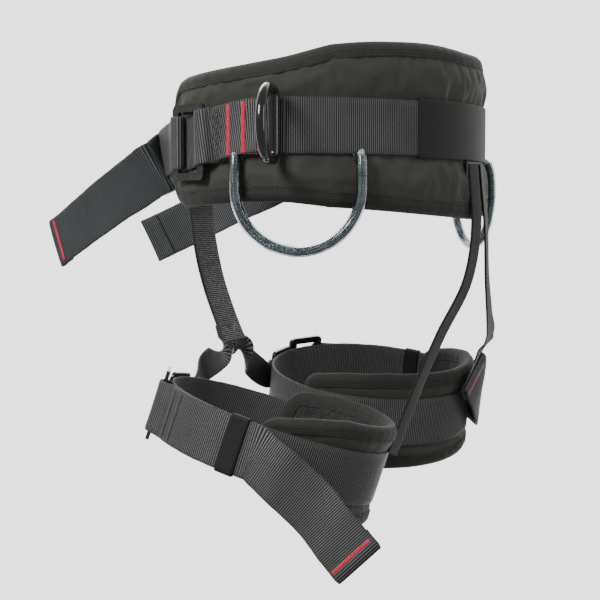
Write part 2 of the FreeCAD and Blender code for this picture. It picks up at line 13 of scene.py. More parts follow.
import bpy
import numpy as np
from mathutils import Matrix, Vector


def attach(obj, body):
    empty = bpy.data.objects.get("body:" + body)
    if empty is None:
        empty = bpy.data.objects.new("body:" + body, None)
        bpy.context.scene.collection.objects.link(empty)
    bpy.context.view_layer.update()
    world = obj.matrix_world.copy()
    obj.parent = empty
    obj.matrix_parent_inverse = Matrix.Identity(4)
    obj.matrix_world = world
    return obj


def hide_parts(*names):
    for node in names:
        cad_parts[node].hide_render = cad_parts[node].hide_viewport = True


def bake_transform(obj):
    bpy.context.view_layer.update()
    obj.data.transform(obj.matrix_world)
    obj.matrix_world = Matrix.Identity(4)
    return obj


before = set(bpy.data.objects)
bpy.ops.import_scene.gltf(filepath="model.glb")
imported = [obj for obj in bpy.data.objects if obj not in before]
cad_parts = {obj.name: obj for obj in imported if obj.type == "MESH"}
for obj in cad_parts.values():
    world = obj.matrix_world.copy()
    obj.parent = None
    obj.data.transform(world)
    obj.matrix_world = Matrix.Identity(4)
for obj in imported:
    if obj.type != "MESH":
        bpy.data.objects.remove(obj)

LOG = logging.getLogger("harness")
MM = 0.001
UP = (0.0, 0.0, 1.0)

STITCH_COVER = 0.78
WEB_HALF = 22.5
HEM_TURN = 2.6
HEM_FACE = 1.35
HEM_TACK = 39.0
TACK_PASS = 3.2
RING_POINTS = 24
TUBE_RADIUS = 4.5
TUBE_BORE = 3.55
CLOTH_FRAMES = 20

Array = np.ndarray
Node = bpy.types.Node
Socket = bpy.types.NodeSocket
Piece = bpy.types.Object


class Side(Enum):
    """The wearer's two sides."""

    LEFT = 1
    RIGHT = -1

    @property
    def tag(self) -> str:
        """The ending that this side's CAD nodes and bodies carry."""
        return self.name.lower()

    def turned(self, angle: float | Array) -> float | Array:
        """An angle given for the left side, or its mirror image on the right."""
        return angle if self is Side.LEFT else 180.0 - angle


# ---------------------------------------------------------------- paths and shapes


def unit(rows: Array) -> Array:
    """Vectors scaled to length one."""
    return rows / np.maximum(np.linalg.norm(rows, axis=-1, keepdims=True), 1e-9)


def ease(low: float, high: float, value: Array) -> Array:
    """A smooth step from 0 at low to 1 at high."""
    share = np.clip((np.asarray(value, float) - low) / (high - low), 0.0, 1.0)
    return share * share * (3.0 - 2.0 * share)


def run_along(points: Array) -> Array:
    """The distance run along a line, from its first point to each point."""
    return np.concatenate(([0.0], np.cumsum(np.linalg.norm(np.diff(points, axis=0), axis=1))))


def sample(marks: Array, run: Array, rows: Array) -> Array:
    """Vectors read from a table at marks, one row for each mark."""
    return np.stack([np.interp(marks, run, column) for column in rows.T], axis=1)


def quads(number: Array) -> Array:
    """The corners of every cell of a lattice of point numbers."""
    corners = (number[:-1, :-1], number[:-1, 1:], number[1:, 1:], number[1:, :-1])
    return np.stack(corners, axis=-1).reshape(-1, 4)


def smooth_path(points: Array, step: float) -> tuple[Array, Array]:
    """A smooth curve through points, sampled at an even step.

    Args:
        points: The stations that the curve goes through.
        step: Distance between the samples.

    Returns:
        The samples, and for each the station number that it lies at, with its fraction.
    """
    marks = run_along(points)
    gaps = np.linalg.norm(np.diff(points, axis=0), axis=1)
    slopes = np.gradient(points, marks, axis=0)
    fine = np.linspace(0.0, marks[-1], max(int(marks[-1] / step * 2), len(points) * 12))
    index = np.clip(np.searchsorted(marks, fine, side="right") - 1, 0, len(gaps) - 1)
    t = ((fine - marks[index]) / gaps[index])[:, None]
    reach = gaps[index][:, None]
    curve = (
        (2 * t**3 - 3 * t**2 + 1) * points[index]
        + (t**3 - 2 * t**2 + t) * reach * slopes[index]
        + (3 * t**2 - 2 * t**3) * points[index + 1]
        + (t**3 - t**2) * reach * slopes[index + 1]
    )
    run = run_along(curve)
    even = np.linspace(0.0, run[-1], max(int(round(run[-1] / step)), 2) + 1)
    return sample(even, run, curve), np.interp(even, run, index + t[:, 0])


class Shape:
    """Points and faces gathered in millimetres before they become a mesh."""

    def __init__(self) -> None:
        """Start with nothing."""
        self.points: list[Array] = []
        self.weave: list[Array] = []
        self.faces: list[tuple[Array, int]] = []
        self.count = 0

    def add(self, points: Array, faces: Sequence[Array], weave: Array) -> None:
        """Add points with the faces between them.

        Args:
            points: Places in millimetres.
            faces: Arrays of corner numbers, each array with one number of corners.
            weave: The place of each point in its own cloth: along, across and which face.
        """
        points = np.asarray(points, float).reshape(-1, 3)
        self.points.append(points)
        self.weave.append(np.asarray(weave, float).reshape(-1, 3))
        for corners in faces:
            self.faces.append((np.asarray(corners, int) + self.count, 0))
        self.count += len(points)

    def lattice(self, points: Array, weave: Array, wrap_rows: bool = False, capped: bool = False) -> None:
        """Add rows of points, each row a closed section, with a quad in every cell.

        Args:
            points: Places in rows and columns.
            weave: The same lattice in the cloth's own measure.
            wrap_rows: Whether the last row joins the first.
            capped: Whether the first and last rows, each a flat closed section, are filled.
        """
        rows, columns = points.shape[:2]
        number = np.arange(rows * columns).reshape(rows, columns)
        if wrap_rows:
            number = np.concatenate([number, number[:1]], axis=0)
        number = np.concatenate([number, number[:, :1]], axis=1)
        faces = [quads(number)]
        if capped:
            half = columns // 2
            near = np.arange(1, half)
            for row, order in ((0, -1), (rows - 1, 1)):
                base = row * columns
                fill = np.stack([near, near + 1, columns - near - 1, columns - near], axis=1)[:-1]
                ends = np.array([[0, 1, columns - 1], [half, half + 1, half - 1]])
                faces.append((fill + base)[:, ::order])
                faces.append((ends + base)[:, ::order])
        self.add(points, faces, weave)

    def outward(self) -> "Shape":
        """Turn every face over if together they enclose a negative volume."""
        points = np.concatenate(self.points)
        volume = 0.0
        for corners, _ in self.faces:
            for k in range(1, corners.shape[1] - 1):
                a, b, c = points[corners[:, 0]], points[corners[:, k]], points[corners[:, k + 1]]
                volume += float(np.einsum("ij,ij->i", a, np.cross(b, c)).sum())
        if volume < 0:
            self.faces = [(corners[:, ::-1], finish) for corners, finish in self.faces]
        return self

    def piece(self, name: str, *finishes: "Finish") -> Piece:
        """Make the mesh object.

        Args:
            name: The piece's name.
            finishes: What it is made of, in the order that its faces number them.

        Returns:
            The new object, linked to the scene.
        """
        points = np.concatenate(self.points) * MM
        mesh = bpy.data.meshes.new(name)
        mesh.vertices.add(len(points))
        mesh.vertices.foreach_set("co", points.astype(np.float32).ravel())
        sizes = np.concatenate([np.full(len(corners), corners.shape[1]) for corners, _ in self.faces])
        corners = np.concatenate([corners.ravel() for corners, _ in self.faces])
        mesh.loops.add(len(corners))
        mesh.loops.foreach_set("vertex_index", corners.astype(np.int32))
        mesh.polygons.add(len(sizes))
        starts = np.concatenate(([0], np.cumsum(sizes)[:-1]))
        mesh.polygons.foreach_set("loop_start", starts.astype(np.int32))
        marks = np.concatenate([np.full(len(corners), finish) for corners, finish in self.faces])
        mesh.polygons.foreach_set("material_index", marks.astype(np.int32))
        mesh.polygons.foreach_set("use_smooth", np.ones(len(sizes), bool))
        weave = mesh.attributes.new("weave", "FLOAT_VECTOR", "POINT")
        weave.data.foreach_set("vector", np.concatenate(self.weave).astype(np.float32).ravel())
        mesh.update(calc_edges=True)
        mesh.validate()
        for finish in finishes:
            mesh.materials.append(finish.material())
        piece = bpy.data.objects.new(name, mesh)
        bpy.context.scene.collection.objects.link(piece)
        return piece


@dataclass(frozen=True)
class Station:
    """A place that a strap goes through, the way its width lies, and how wide it is there."""

    point: tuple[float, float, float]
    across: tuple[float, float, float] = UP
    wide: float = 1.0


@dataclass(frozen=True)
class Strap:
    """A woven strap, laid along stations with its ribs and rounded selvedges."""

    width: float
    thick: float
    pitch: float = 1.8
    ridge: float = 0.2
    rows: int = 4
    columns: int = 13
    sway: float = 0.0

    def section(self) -> tuple[Array, Array, Array]:
        """The strap's closed section.

        Returns:
            For each point its place across, its place through the thickness, and how far
            the ribs reach there.
        """
        round_off = self.thick / 2
        flat = np.linspace(-1.0, 1.0, self.columns) * (self.width / 2 - round_off)
        slant = round_off * math.sqrt(0.5)
        right = np.array([flat[-1] + slant, flat[-1] + round_off, flat[-1] + slant])
        drop = np.array([slant, 0.0, -slant])
        across = np.concatenate([[-right[1], -right[0]], flat, right, flat[::-1], [-right[0]]])
        through = np.concatenate([[0.0, slant], np.full(self.columns, round_off), drop,
                                  np.full(self.columns, -round_off), [-slant]])
        reach = 0.25 + 0.75 * ease(0.0, 2.4, self.width / 2 - np.abs(across) - 0.6)
        return across, through, reach

    def lay(self, stations: Sequence[Station], shape: Shape | None = None, closed: bool = False) -> Shape:
        """Lay the strap along its stations.

        Args:
            stations: The places that its middle goes through.
            shape: The shape to add it to, or None for a new one.
            closed: Whether its end joins its start.

        Returns:
            The shape that holds it.
        """
        shape = shape or Shape()
        path, where = smooth_path(np.array([s.point for s in stations], float), self.pitch / self.rows)
        index = np.arange(len(stations))
        sides = np.array([s.across for s in stations], float)
        across = sample(where, index, sides)
        wide = np.interp(where, index, [s.wide for s in stations])
        along = unit(np.gradient(path, axis=0))
        across = unit(across - (across * along).sum(axis=1, keepdims=True) * along)
        normal = np.cross(along, across)
        run = run_along(path)
        place, through, reach = self.section()
        wave = self.ridge * np.cos(run / self.pitch * 2 * math.pi)
        lift = through[None] + np.sign(through)[None] * reach[None] * wave[:, None]
        share = place / (self.width / 2)
        lift = lift + self.sway * np.sin(run / 17.0)[:, None] * share[None] * 0.6
        lift = lift + self.sway * np.sin(run / 31.0 + 1.0)[:, None] * share[None] ** 2
        fray = 1.0 + 0.004 * np.sin(run / 6.1) + 0.003 * np.sin(run / 2.3)
        points = (
            path[:, None]
            + across[:, None] * (place[None] * (wide * fray)[:, None])[..., None]
            + normal[:, None] * lift[..., None]
        )
        weave = np.stack(np.broadcast_arrays(run[:, None], place[None], np.sign(through)[None]), axis=-1)
        shape.lattice(points, weave, wrap_rows=closed, capped=not closed)
        return shape


def stitches(shape: Shape, centres: Array, along: Array, normals: Array, length: float, radius: float,
             arch: float) -> None:
    """Add short arched stitches of thread.

    Args:
        shape: The shape that takes them.
        centres: The middle of each stitch, on the cloth.
        along: The way each one runs.
        normals: The way out of the cloth at each one.
        length: Length of a stitch.
        radius: Radius of the thread.
        arch: How far its middle stands above its ends.
    """
    along = unit(along)
    normals = unit(normals - (normals * along).sum(axis=1, keepdims=True) * along)
    beside = np.cross(along, normals)
    marks = np.array([-0.5, -0.4, 0.0, 0.4, 0.5])
    widths = np.array([0.35, 0.85, 1.0, 0.85, 0.35]) * radius
    rises = np.array([-0.9, 0.1, 1.0, 0.1, -0.9]) * arch
    turns = np.arange(6) / 6 * 2 * math.pi
    count = len(centres)
    spine = (
        centres[:, None]
        + along[:, None] * (marks * length)[None, :, None]
        + normals[:, None] * (rises + radius * 0.4)[None, :, None]
    )
    ring = (
        beside[:, None, None] * (widths[:, None] * np.cos(turns))[None, ..., None]
        + normals[:, None, None] * (widths[:, None] * np.sin(turns))[None, ..., None]
    )
    points = spine[:, :, None] + ring
    number = np.arange(count * 30).reshape(count, 5, 6)
    number = np.concatenate([number, number[:, :, :1]], axis=2)
    cells = np.stack([number[:, :-1, :-1], number[:, 1:, :-1], number[:, 1:, 1:], number[:, :-1, 1:]],
                     axis=-1)
    twist = np.broadcast_to(marks[None, :, None] * length, points.shape[:3])
    around = np.broadcast_to(turns[None, None], points.shape[:3])
    weave = np.stack([twist, around, np.ones(points.shape[:3])], axis=-1)
    shape.add(points, [cells.reshape(-1, 4)], weave)


def sew(shape: Shape, path: Array, normals: Array, pitch: float, radius: float) -> None:
    """Add a row of stitches along a line on cloth.

    Args:
        shape: The shape that takes them.
        path: Points of the line.
        normals: The way out of the cloth at each point.
        pitch: Distance from one stitch to the next.
        radius: Radius of the thread.
    """
    run = run_along(path)
    marks = np.arange(pitch / 2, run[-1], pitch)
    along = sample(marks + 0.5, run, path) - sample(marks - 0.5, run, path)
    out = sample(marks, run, normals)
    stitches(shape, sample(marks, run, path), along, out, pitch * STITCH_COVER, radius, radius * 0.8)


def hem(end: Array, ahead: Array, up: Array, away: Array, backs: Sequence[float]) -> list[Station]:
    """The stations of a strap's end, turned back under itself.

    Args:
        end: Where the strap ends.
        ahead: The way it runs there.
        up: The way its width lies.
        away: The way out of its outer face.
        backs: Distances before the end of the outer layer's stations.

    Returns:
        The stations, from the outer layer to the end of the turned layer.
    """
    lie = tuple(up)
    stations = [Station(tuple(end - ahead * back), lie) for back in backs]
    stations.append(Station(tuple(end + ahead * 0.5 - away * (HEM_TURN / 2)), lie))
    stations += [Station(tuple(end - ahead * back - away * HEM_TURN), lie) for back in (1.0, 7.0, 16.0)]
    return stations


def flat_place(middle: Array, along: Array, across: Array, out: Array) -> Callable[..., tuple[Array, ...]]:
    """Makes the function that gives a tack its places on a flat face.

    Args:
        middle: The middle of the tack.
        along: The way that the strap runs.
        across: The way across the strap.
        out: The way out of the face.

    Returns:
        A function of the places along and across the strap.
    """
    def place(slide: Array, rise: Array) -> tuple[Array, Array, Array]:
        """The point, the run and the outward direction at each place."""
        points = middle + along * np.asarray(slide)[:, None] + across * np.asarray(rise)[:, None]
        return points, np.broadcast_to(along, points.shape), np.broadcast_to(out, points.shape)

    return place


def tack(shape: Shape, place: Callable[[Array, Array], tuple[Array, Array, Array]], width: float,
         height: float, seed: int) -> None:
    """Add a bar of dense thread, laid to and fro across a strap.

    Args:
        shape: The shape that takes it.
        place: Gives the point, the strap's run and its outward direction at a place along
            and across the strap.
        width: How far each pass of thread goes along the strap.
        height: Length of the bar across the strap.
        seed: Start of the small unevenness of the thread.
    """
    loose = np.random.default_rng(seed)
    count = int(height / 0.4)
    rise = np.linspace(-height / 2, height / 2, count)
    slide = loose.normal(0.0, 0.09, count) + np.where(np.arange(count) % 2, 0.12, -0.12)
    points, along, out = place(slide, rise)
    slant = np.where(np.arange(count) % 2, 0.05, -0.05)[:, None]
    across = np.cross(out, along)
    lift = out * (0.12 + loose.normal(0.0, 0.03, count))[:, None]
    stitches(shape, points + lift, along + across * slant, out, width, 0.27, 0.28)
    keel = np.linspace(-height / 2 + 0.6, height / 2 - 0.6, count)
    for offset in (-0.3, 0.3):
        base, run, away = place(np.full(count, offset * width), keel)
        stitches(shape, base + away * 0.05, np.cross(away, run), away, 1.2, 0.3, 0.1)


# ---------------------------------------------------------------- node trees


def tone(red: float, green: float, blue: float) -> tuple[float, float, float, float]:
    """A linear colour from display values between 0 and 255."""
    shares = [value / 255.0 for value in (red, green, blue)]
    red, green, blue = [s / 12.92 if s <= 0.04045 else ((s + 0.055) / 1.055) ** 2.4 for s in shares]
    return (red, green, blue, 1.0)


class Net:
    """Short ways of adding nodes to one tree."""

    def __init__(self, tree: bpy.types.NodeTree) -> None:
        """Take the tree that the nodes go into."""
        self.tree = tree

    def put(self, socket: Socket, value: object) -> None:
        """Link a socket to another, or set its own value."""
        if isinstance(value, bpy.types.NodeSocket):
            self.tree.links.new(value, socket)
        else:
            socket.default_value = value

    def node(self, kind: str, inputs: dict[str | int, object] | None = None, **settings: object) -> Node:
        """Add a node.

        Args:
            kind: Its Blender type.
            inputs: Values or links for its inputs.
            settings: Its other properties.

        Returns:
            The node.
        """
        node = self.tree.nodes.new(kind)
        for name, value in settings.items():
            setattr(node, name, value)
        for name, value in (inputs or {}).items():
            self.put(node.inputs[name], value)
        return node

    def calc(self, operation: str, *values: object, clamp: bool = False) -> Socket:
        """The result of one sum."""
        node = self.node("ShaderNodeMath", dict(enumerate(values)), operation=operation, use_clamp=clamp)
        return node.outputs[0]

    def between(self, share: object, first: object, second: object) -> Socket:
        """A colour between two others."""
        node = self.node("ShaderNodeMix", data_type="RGBA")
        for name, value in (("Factor", share), ("A", first), ("B", second)):
            kind = "VALUE" if name == "Factor" else "RGBA"
            socket = next(s for s in node.inputs if s.name == name and s.type == kind)
            self.put(socket, value)
        return next(s for s in node.outputs if s.type == "RGBA")

    def split(self, vector: object) -> tuple[Socket, Socket, Socket]:
        """The three parts of a vector."""
        node = self.node("ShaderNodeSeparateXYZ", {0: vector})
        return node.outputs[0], node.outputs[1], node.outputs[2]

    def span(self, value: object, low: float, high: float, to_low: float = 0.0,
             to_high: float = 1.0) -> Socket:
        """A value moved from one range to another, and kept inside it."""
        inputs = {"Value": value, "From Min": low, "From Max": high, "To Min": to_low, "To Max": to_high}
        return self.node("ShaderNodeMapRange", inputs, clamp=True).outputs[0]

    def noise(self, vector: object, scale: object, detail: float = 3.0) -> Socket:
        """Soft cloudy noise."""
        inputs = {"Vector": vector, "Scale": scale, "Detail": detail, "Roughness": 0.55}
        return self.node("ShaderNodeTexNoise", inputs).outputs[0]

    def bump(self, height: object, distance: float, strength: float = 1.0) -> Socket:
        """A normal from a height that varies over the surface."""
        node = self.node("ShaderNodeBump", {"Height": height, "Distance": distance, "Strength": strength})
        return node.outputs["Normal"]

    def cloth(self) -> Socket:
        """The place on the cloth that each mesh carries."""
        return self.node("ShaderNodeAttribute", attribute_name="weave").outputs["Vector"]

    def solid(self) -> Socket:
        """The place in the object's own frame."""
        return self.node("ShaderNodeTexCoord").outputs["Object"]

    def effect(self, tree: bpy.types.NodeTree, **inputs: object) -> Node:
        """Place a shared effect, with its inputs named in words joined by underscores."""
        node = self.node("ShaderNodeGroup", node_tree=tree)
        for name, value in inputs.items():
            self.put(node.inputs[name.replace("_", " ").capitalize()], value)
        return node


def new_effect(name: str, inputs: dict[str, tuple[str, float | None]],
               outputs: Sequence[str]) -> tuple[Net, Node, Node]:
    """Start a shared effect as a node group.

    Args:
        name: The group's name.
        inputs: Each input's kind and starting value.
        outputs: The names of its outputs, all plain values.

    Returns:
        The new tree's net, its input node and its output node.
    """
    tree = bpy.data.node_groups.new(name, "ShaderNodeTree")
    for label, (kind, value) in inputs.items():
        socket = tree.interface.new_socket(label, in_out="INPUT", socket_type=kind)
        if value is not None:
            socket.default_value = value
    for label in outputs:
        tree.interface.new_socket(label, in_out="OUTPUT", socket_type="NodeSocketFloat")
    net = Net(tree)
    return net, net.node("NodeGroupInput"), net.node("NodeGroupOutput")


@dataclass
class Effects:
    """The surface effects that more than one finish uses, each built once."""

    ribs: bpy.types.NodeTree = field(init=False)
    weave: bpy.types.NodeTree = field(init=False)
    fading: bpy.types.NodeTree = field(init=False)
    dust: bpy.types.NodeTree = field(init=False)
    wear: bpy.types.NodeTree = field(init=False)

    def __post_init__(self) -> None:
        """Build every group."""
        self.ribs = self.build_ribs()
        self.weave = self.build_weave()
        self.fading = self.build_fading()
        self.dust = self.build_dust()
        self.wear = self.build_wear()

    @staticmethod
    def build_ribs() -> bpy.types.NodeTree:
        """Ribs across a strap, each made of a row of small beads of yarn."""
        inputs = {"Cloth": ("NodeSocketVector", None), "Pitch": ("NodeSocketFloat", 1.8),
                  "Yarn": ("NodeSocketFloat", 0.9)}
        net, source, sink = new_effect("strap ribs", inputs, ("Ridge", "Bead", "Edge"))
        along, across, _ = net.split(source.outputs["Cloth"])
        phase = net.calc("DIVIDE", along, source.outputs["Pitch"])
        ridge = net.calc("COSINE", net.calc("MULTIPLY", phase, 2 * math.pi))
        row = net.calc("FLOOR", net.calc("ADD", phase, 0.5))
        shift = net.calc("MULTIPLY_ADD", row, 0.5, net.calc("DIVIDE", across, source.outputs["Yarn"]))
        bead = net.calc("COSINE", net.calc("MULTIPLY", shift, 2 * math.pi))
        net.put(sink.inputs["Ridge"], net.calc("MULTIPLY_ADD", ridge, 0.5, 0.5))
        net.put(sink.inputs["Bead"], net.calc("MULTIPLY_ADD", bead, 0.5, 0.5))
        net.put(sink.inputs["Edge"], net.span(net.calc("ABSOLUTE", across), 20.0, 22.6))
        return net.tree

    @staticmethod
    def build_weave() -> bpy.types.NodeTree:
        """Plain weave: threads that pass over and under each other."""
        inputs = {"Cloth": ("NodeSocketVector", None), "Thread": ("NodeSocketFloat", 0.8)}
        net, source, sink = new_effect("plain weave", inputs, ("Over", "Slub"))
        along, across, _ = net.split(source.outputs["Cloth"])
        waves = []
        for value in (along, across):
            turn = net.calc("DIVIDE", value, source.outputs["Thread"])
            waves.append(net.calc("SINE", net.calc("MULTIPLY", turn, math.pi)))
        over = net.calc("MULTIPLY", waves[0], waves[1])
        net.put(sink.inputs["Over"], net.calc("MULTIPLY_ADD", over, 0.5, 0.5))
        stretched = net.node("ShaderNodeVectorMath", {0: source.outputs["Cloth"], 1: (0.12, 1.4, 1.0)},
                             operation="MULTIPLY").outputs[0]
        net.put(sink.inputs["Slub"], net.noise(stretched, 1.0, 4.0))
        return net.tree

    @staticmethod
    def build_fading() -> bpy.types.NodeTree:
        """Slow changes of tone, from handling and light."""
        inputs = {"Place": ("NodeSocketVector", None), "Scale": ("NodeSocketFloat", 18.0)}
        net, source, sink = new_effect("slow fading", inputs, ("Fade",))
        broad = net.noise(source.outputs["Place"], source.outputs["Scale"], 4.0)
        net.put(sink.inputs["Fade"], net.span(broad, 0.32, 0.68))
        return net.tree

    @staticmethod
    def build_dust() -> bpy.types.NodeTree:
        """Fine lint and dust that lies on faces turned up."""
        inputs = {"Place": ("NodeSocketVector", None), "Amount": ("NodeSocketFloat", 0.3)}
        net, source, sink = new_effect("settled dust", inputs, ("Mask",))
        _, _, rise = net.split(net.node("ShaderNodeNewGeometry").outputs["Normal"])
        facing = net.span(rise, -0.2, 0.9, 0.25, 1.0)
        specks = net.span(net.noise(source.outputs["Place"], 900.0, 2.0), 0.62, 0.74)
        film = net.span(net.noise(source.outputs["Place"], 55.0, 4.0), 0.4, 0.8, 0.0, 0.5)
        both = net.calc("MAXIMUM", specks, film)
        mask = net.calc("MULTIPLY", net.calc("MULTIPLY", both, facing), source.outputs["Amount"], clamp=True)
        net.put(sink.inputs["Mask"], mask)
        return net.tree

    @staticmethod
    def build_wear() -> bpy.types.NodeTree:
        """Wear on corners that stand proud."""
        inputs = {"Place": ("NodeSocketVector", None), "Amount": ("NodeSocketFloat", 0.5)}
        net, source, sink = new_effect("edge wear", inputs, ("Mask",))
        point = net.node("ShaderNodeNewGeometry").outputs["Pointiness"]
        proud = net.span(point, 0.56, 0.7)
        patchy = net.span(net.noise(source.outputs["Place"], 260.0, 4.0), 0.42, 0.62)
        mask = net.calc("MULTIPLY", net.calc("MULTIPLY", proud, patchy), source.outputs["Amount"], clamp=True)
        net.put(sink.inputs["Mask"], mask)
        return net.tree


EFFECTS = Effects()


# ---------------------------------------------------------------- finishes

Colour = tuple[float, float, float, float]


@dataclass(frozen=True)
class Finish:
    """What a piece is made of. Each kind of finish says how its surface looks."""

    name: str
    slot: str

    def material(self) -> bpy.types.Material:
        """The Blender material, made on first use."""
        made = bpy.data.materials.get(self.name)
        if made is not None:
            return made
        made = bpy.data.materials.new(self.name)
        made.use_nodes = True
        made.node_tree.nodes.clear()
        net = Net(made.node_tree)
        shader = net.node("ShaderNodeBsdfPrincipled")
        sink = net.node("ShaderNodeOutputMaterial")
        net.put(sink.inputs["Surface"], shader.outputs[0])
        self.dress(net, shader)
        return made

    def dress(self, net: Net, shader: Node) -> None:
        """Set the shader's inputs."""
        raise NotImplementedError


@dataclass(frozen=True)
class WebbingFinish(Finish):
    """Ribbed polyester webbing: a painted highlight on the rib crests over painted shade in the gaps between
    the ribs.
    """

    # The ridge colour is a painted highlight on the rib crests, and the gap colour is painted shade in the
    # valleys between the ribs.
    ridge: Colour = tone(106, 109, 107)
    gap_shade: Colour = tone(3, 4, 4)
    selvedge: Colour = tone(26, 27, 26)
    dusty: Colour = tone(96, 96, 92)
    pitch: float = 1.8
    yarn: float = 1.05
    dust: float = 0.07

    def dress(self, net: Net, shader: Node) -> None:
        """Set the shader's inputs."""
        cloth, solid = net.cloth(), net.solid()
        ribs = net.effect(EFFECTS.ribs, cloth=cloth, pitch=self.pitch, yarn=self.yarn)
        fade = net.effect(EFFECTS.fading, place=solid, scale=26.0).outputs["Fade"]
        dust = net.effect(EFFECTS.dust, place=solid, amount=self.dust).outputs["Mask"]
        ridge, bead = ribs.outputs["Ridge"], ribs.outputs["Bead"]
        # Mask from the painted shade in the gaps to the painted highlight on the crests, varied by slow
        # fading.
        crest_highlight = net.calc("MULTIPLY", net.span(ridge, 0.34, 0.95), net.span(bead, 0.0, 0.7, 0.62, 1.0))
        crest_highlight = net.calc("MULTIPLY", crest_highlight, net.span(fade, 0.0, 1.0, 0.72, 1.0))
        colour = net.between(crest_highlight, self.gap_shade, self.ridge)
        colour = net.between(net.calc("MULTIPLY", ribs.outputs["Edge"], 0.6), colour, self.selvedge)
        net.put(shader.inputs["Base Color"], net.between(dust, colour, self.dusty))
        net.put(shader.inputs["Roughness"], net.span(crest_highlight, 0.0, 1.0, 0.8, 0.4))
        height = net.calc("MULTIPLY_ADD", bead, 0.55, net.calc("MULTIPLY", ridge, 0.6))
        net.put(shader.inputs["Normal"], net.bump(height, 0.00026, 0.9))
        shader.inputs["Sheen Weight"].default_value = 0.06
        shader.inputs["Sheen Roughness"].default_value = 0.4
        shader.inputs["Specular IOR Level"].default_value = 0.55


@dataclass(frozen=True)
class WovenFinish(Finish):
    """Plain cloth or knit: pad covers, binding tape, elastic and lining."""

    light: Colour = tone(66, 67, 60)
    dark: Colour = tone(38, 39, 35)
    dusty: Colour = tone(88, 88, 82)
    thread: float = 0.75
    depth: float = 0.00009
    dust: float = 0.06
    sheen: float = 0.08
    rough: float = 0.85

    def dress(self, net: Net, shader: Node) -> None:
        """Set the shader's inputs."""
        cloth, solid = net.cloth(), net.solid()
        weave = net.effect(EFFECTS.weave, cloth=cloth, thread=self.thread)
        fade = net.effect(EFFECTS.fading, place=solid, scale=14.0).outputs["Fade"]
        dust = net.effect(EFFECTS.dust, place=solid, amount=self.dust).outputs["Mask"]
        over, slub = weave.outputs["Over"], weave.outputs["Slub"]
        share = net.calc("MULTIPLY_ADD", over, 0.42, net.span(slub, 0.3, 0.7, 0.1, 0.4))
        share = net.calc("MULTIPLY_ADD", fade, 0.2, share, clamp=True)
        colour = net.between(share, self.dark, self.light)
        net.put(shader.inputs["Base Color"], net.between(dust, colour, self.dusty))
        net.put(shader.inputs["Roughness"], net.span(over, 0.0, 1.0, self.rough + 0.08, self.rough - 0.08))
        height = net.calc("MULTIPLY_ADD", slub, 0.5, over)
        net.put(shader.inputs["Normal"], net.bump(height, self.depth, 0.9))
        shader.inputs["Sheen Weight"].default_value = self.sheen
        shader.inputs["Sheen Roughness"].default_value = 0.5
        shader.inputs["Specular IOR Level"].default_value = 0.3


@dataclass(frozen=True)
class MeshFinish(Finish):
    """Spacer mesh that lines a pad: open cells in a soft knit, with painted shade in the recessed cells."""

    thread: Colour = tone(42, 44, 42)
    # The cell colour is painted shade: the recessed open cells are darkened almost to black.
    cell: Colour = tone(6, 6, 6)
    size: float = 2.6

    def dress(self, net: Net, shader: Node) -> None:
        """Set the shader's inputs."""
        cells = net.node("ShaderNodeTexVoronoi", {"Vector": net.cloth(), "Scale": 1.0 / self.size,
                                                  "Randomness": 0.35}, feature="F1")
        open_cell = net.span(cells.outputs["Distance"], 0.24, 0.42, 1.0, 0.0)
        weave = net.effect(EFFECTS.weave, cloth=net.cloth(), thread=0.5).outputs["Over"]
        dust = net.effect(EFFECTS.dust, place=net.solid(), amount=0.05).outputs["Mask"]
        knit = net.between(weave, tone(24, 26, 24), self.thread)
        colour = net.between(open_cell, knit, self.cell)
        net.put(shader.inputs["Base Color"], net.between(dust, colour, tone(120, 120, 116)))
        net.put(shader.inputs["Roughness"], net.span(open_cell, 0.0, 1.0, 0.8, 0.95))
        height = net.calc("MULTIPLY_ADD", weave, 0.15, net.calc("SUBTRACT", 1.0, open_cell))
        net.put(shader.inputs["Normal"], net.bump(height, 0.0005, 0.9))
        shader.inputs["Sheen Weight"].default_value = 0.06


@dataclass(frozen=True)
class ThreadFinish(Finish):
    """Twisted sewing thread."""

    light: Colour = tone(244, 40, 84)
    dark: Colour = tone(150, 10, 36)
    rough: float = 0.42

    def dress(self, net: Net, shader: Node) -> None:
        """Set the shader's inputs."""
        along, around, _ = net.split(net.cloth())
        turn = net.calc("MULTIPLY_ADD", along, 9.0, around)
        ply = net.calc("MULTIPLY_ADD", net.calc("SINE", net.calc("MULTIPLY", turn, 2.0)), 0.5, 0.5)
        fade = net.effect(EFFECTS.fading, place=net.solid(), scale=420.0).outputs["Fade"]
        share = net.calc("MULTIPLY_ADD", ply, 0.55, net.calc("MULTIPLY", fade, 0.45))
        net.put(shader.inputs["Base Color"], net.between(share, self.dark, self.light))
        net.put(shader.inputs["Roughness"], net.span(ply, 0.0, 1.0, self.rough + 0.12, self.rough))
        net.put(shader.inputs["Normal"], net.bump(ply, 0.00008, 0.7))
        shader.inputs["Sheen Weight"].default_value = 0.2
        shader.inputs["Specular IOR Level"].default_value = 0.5


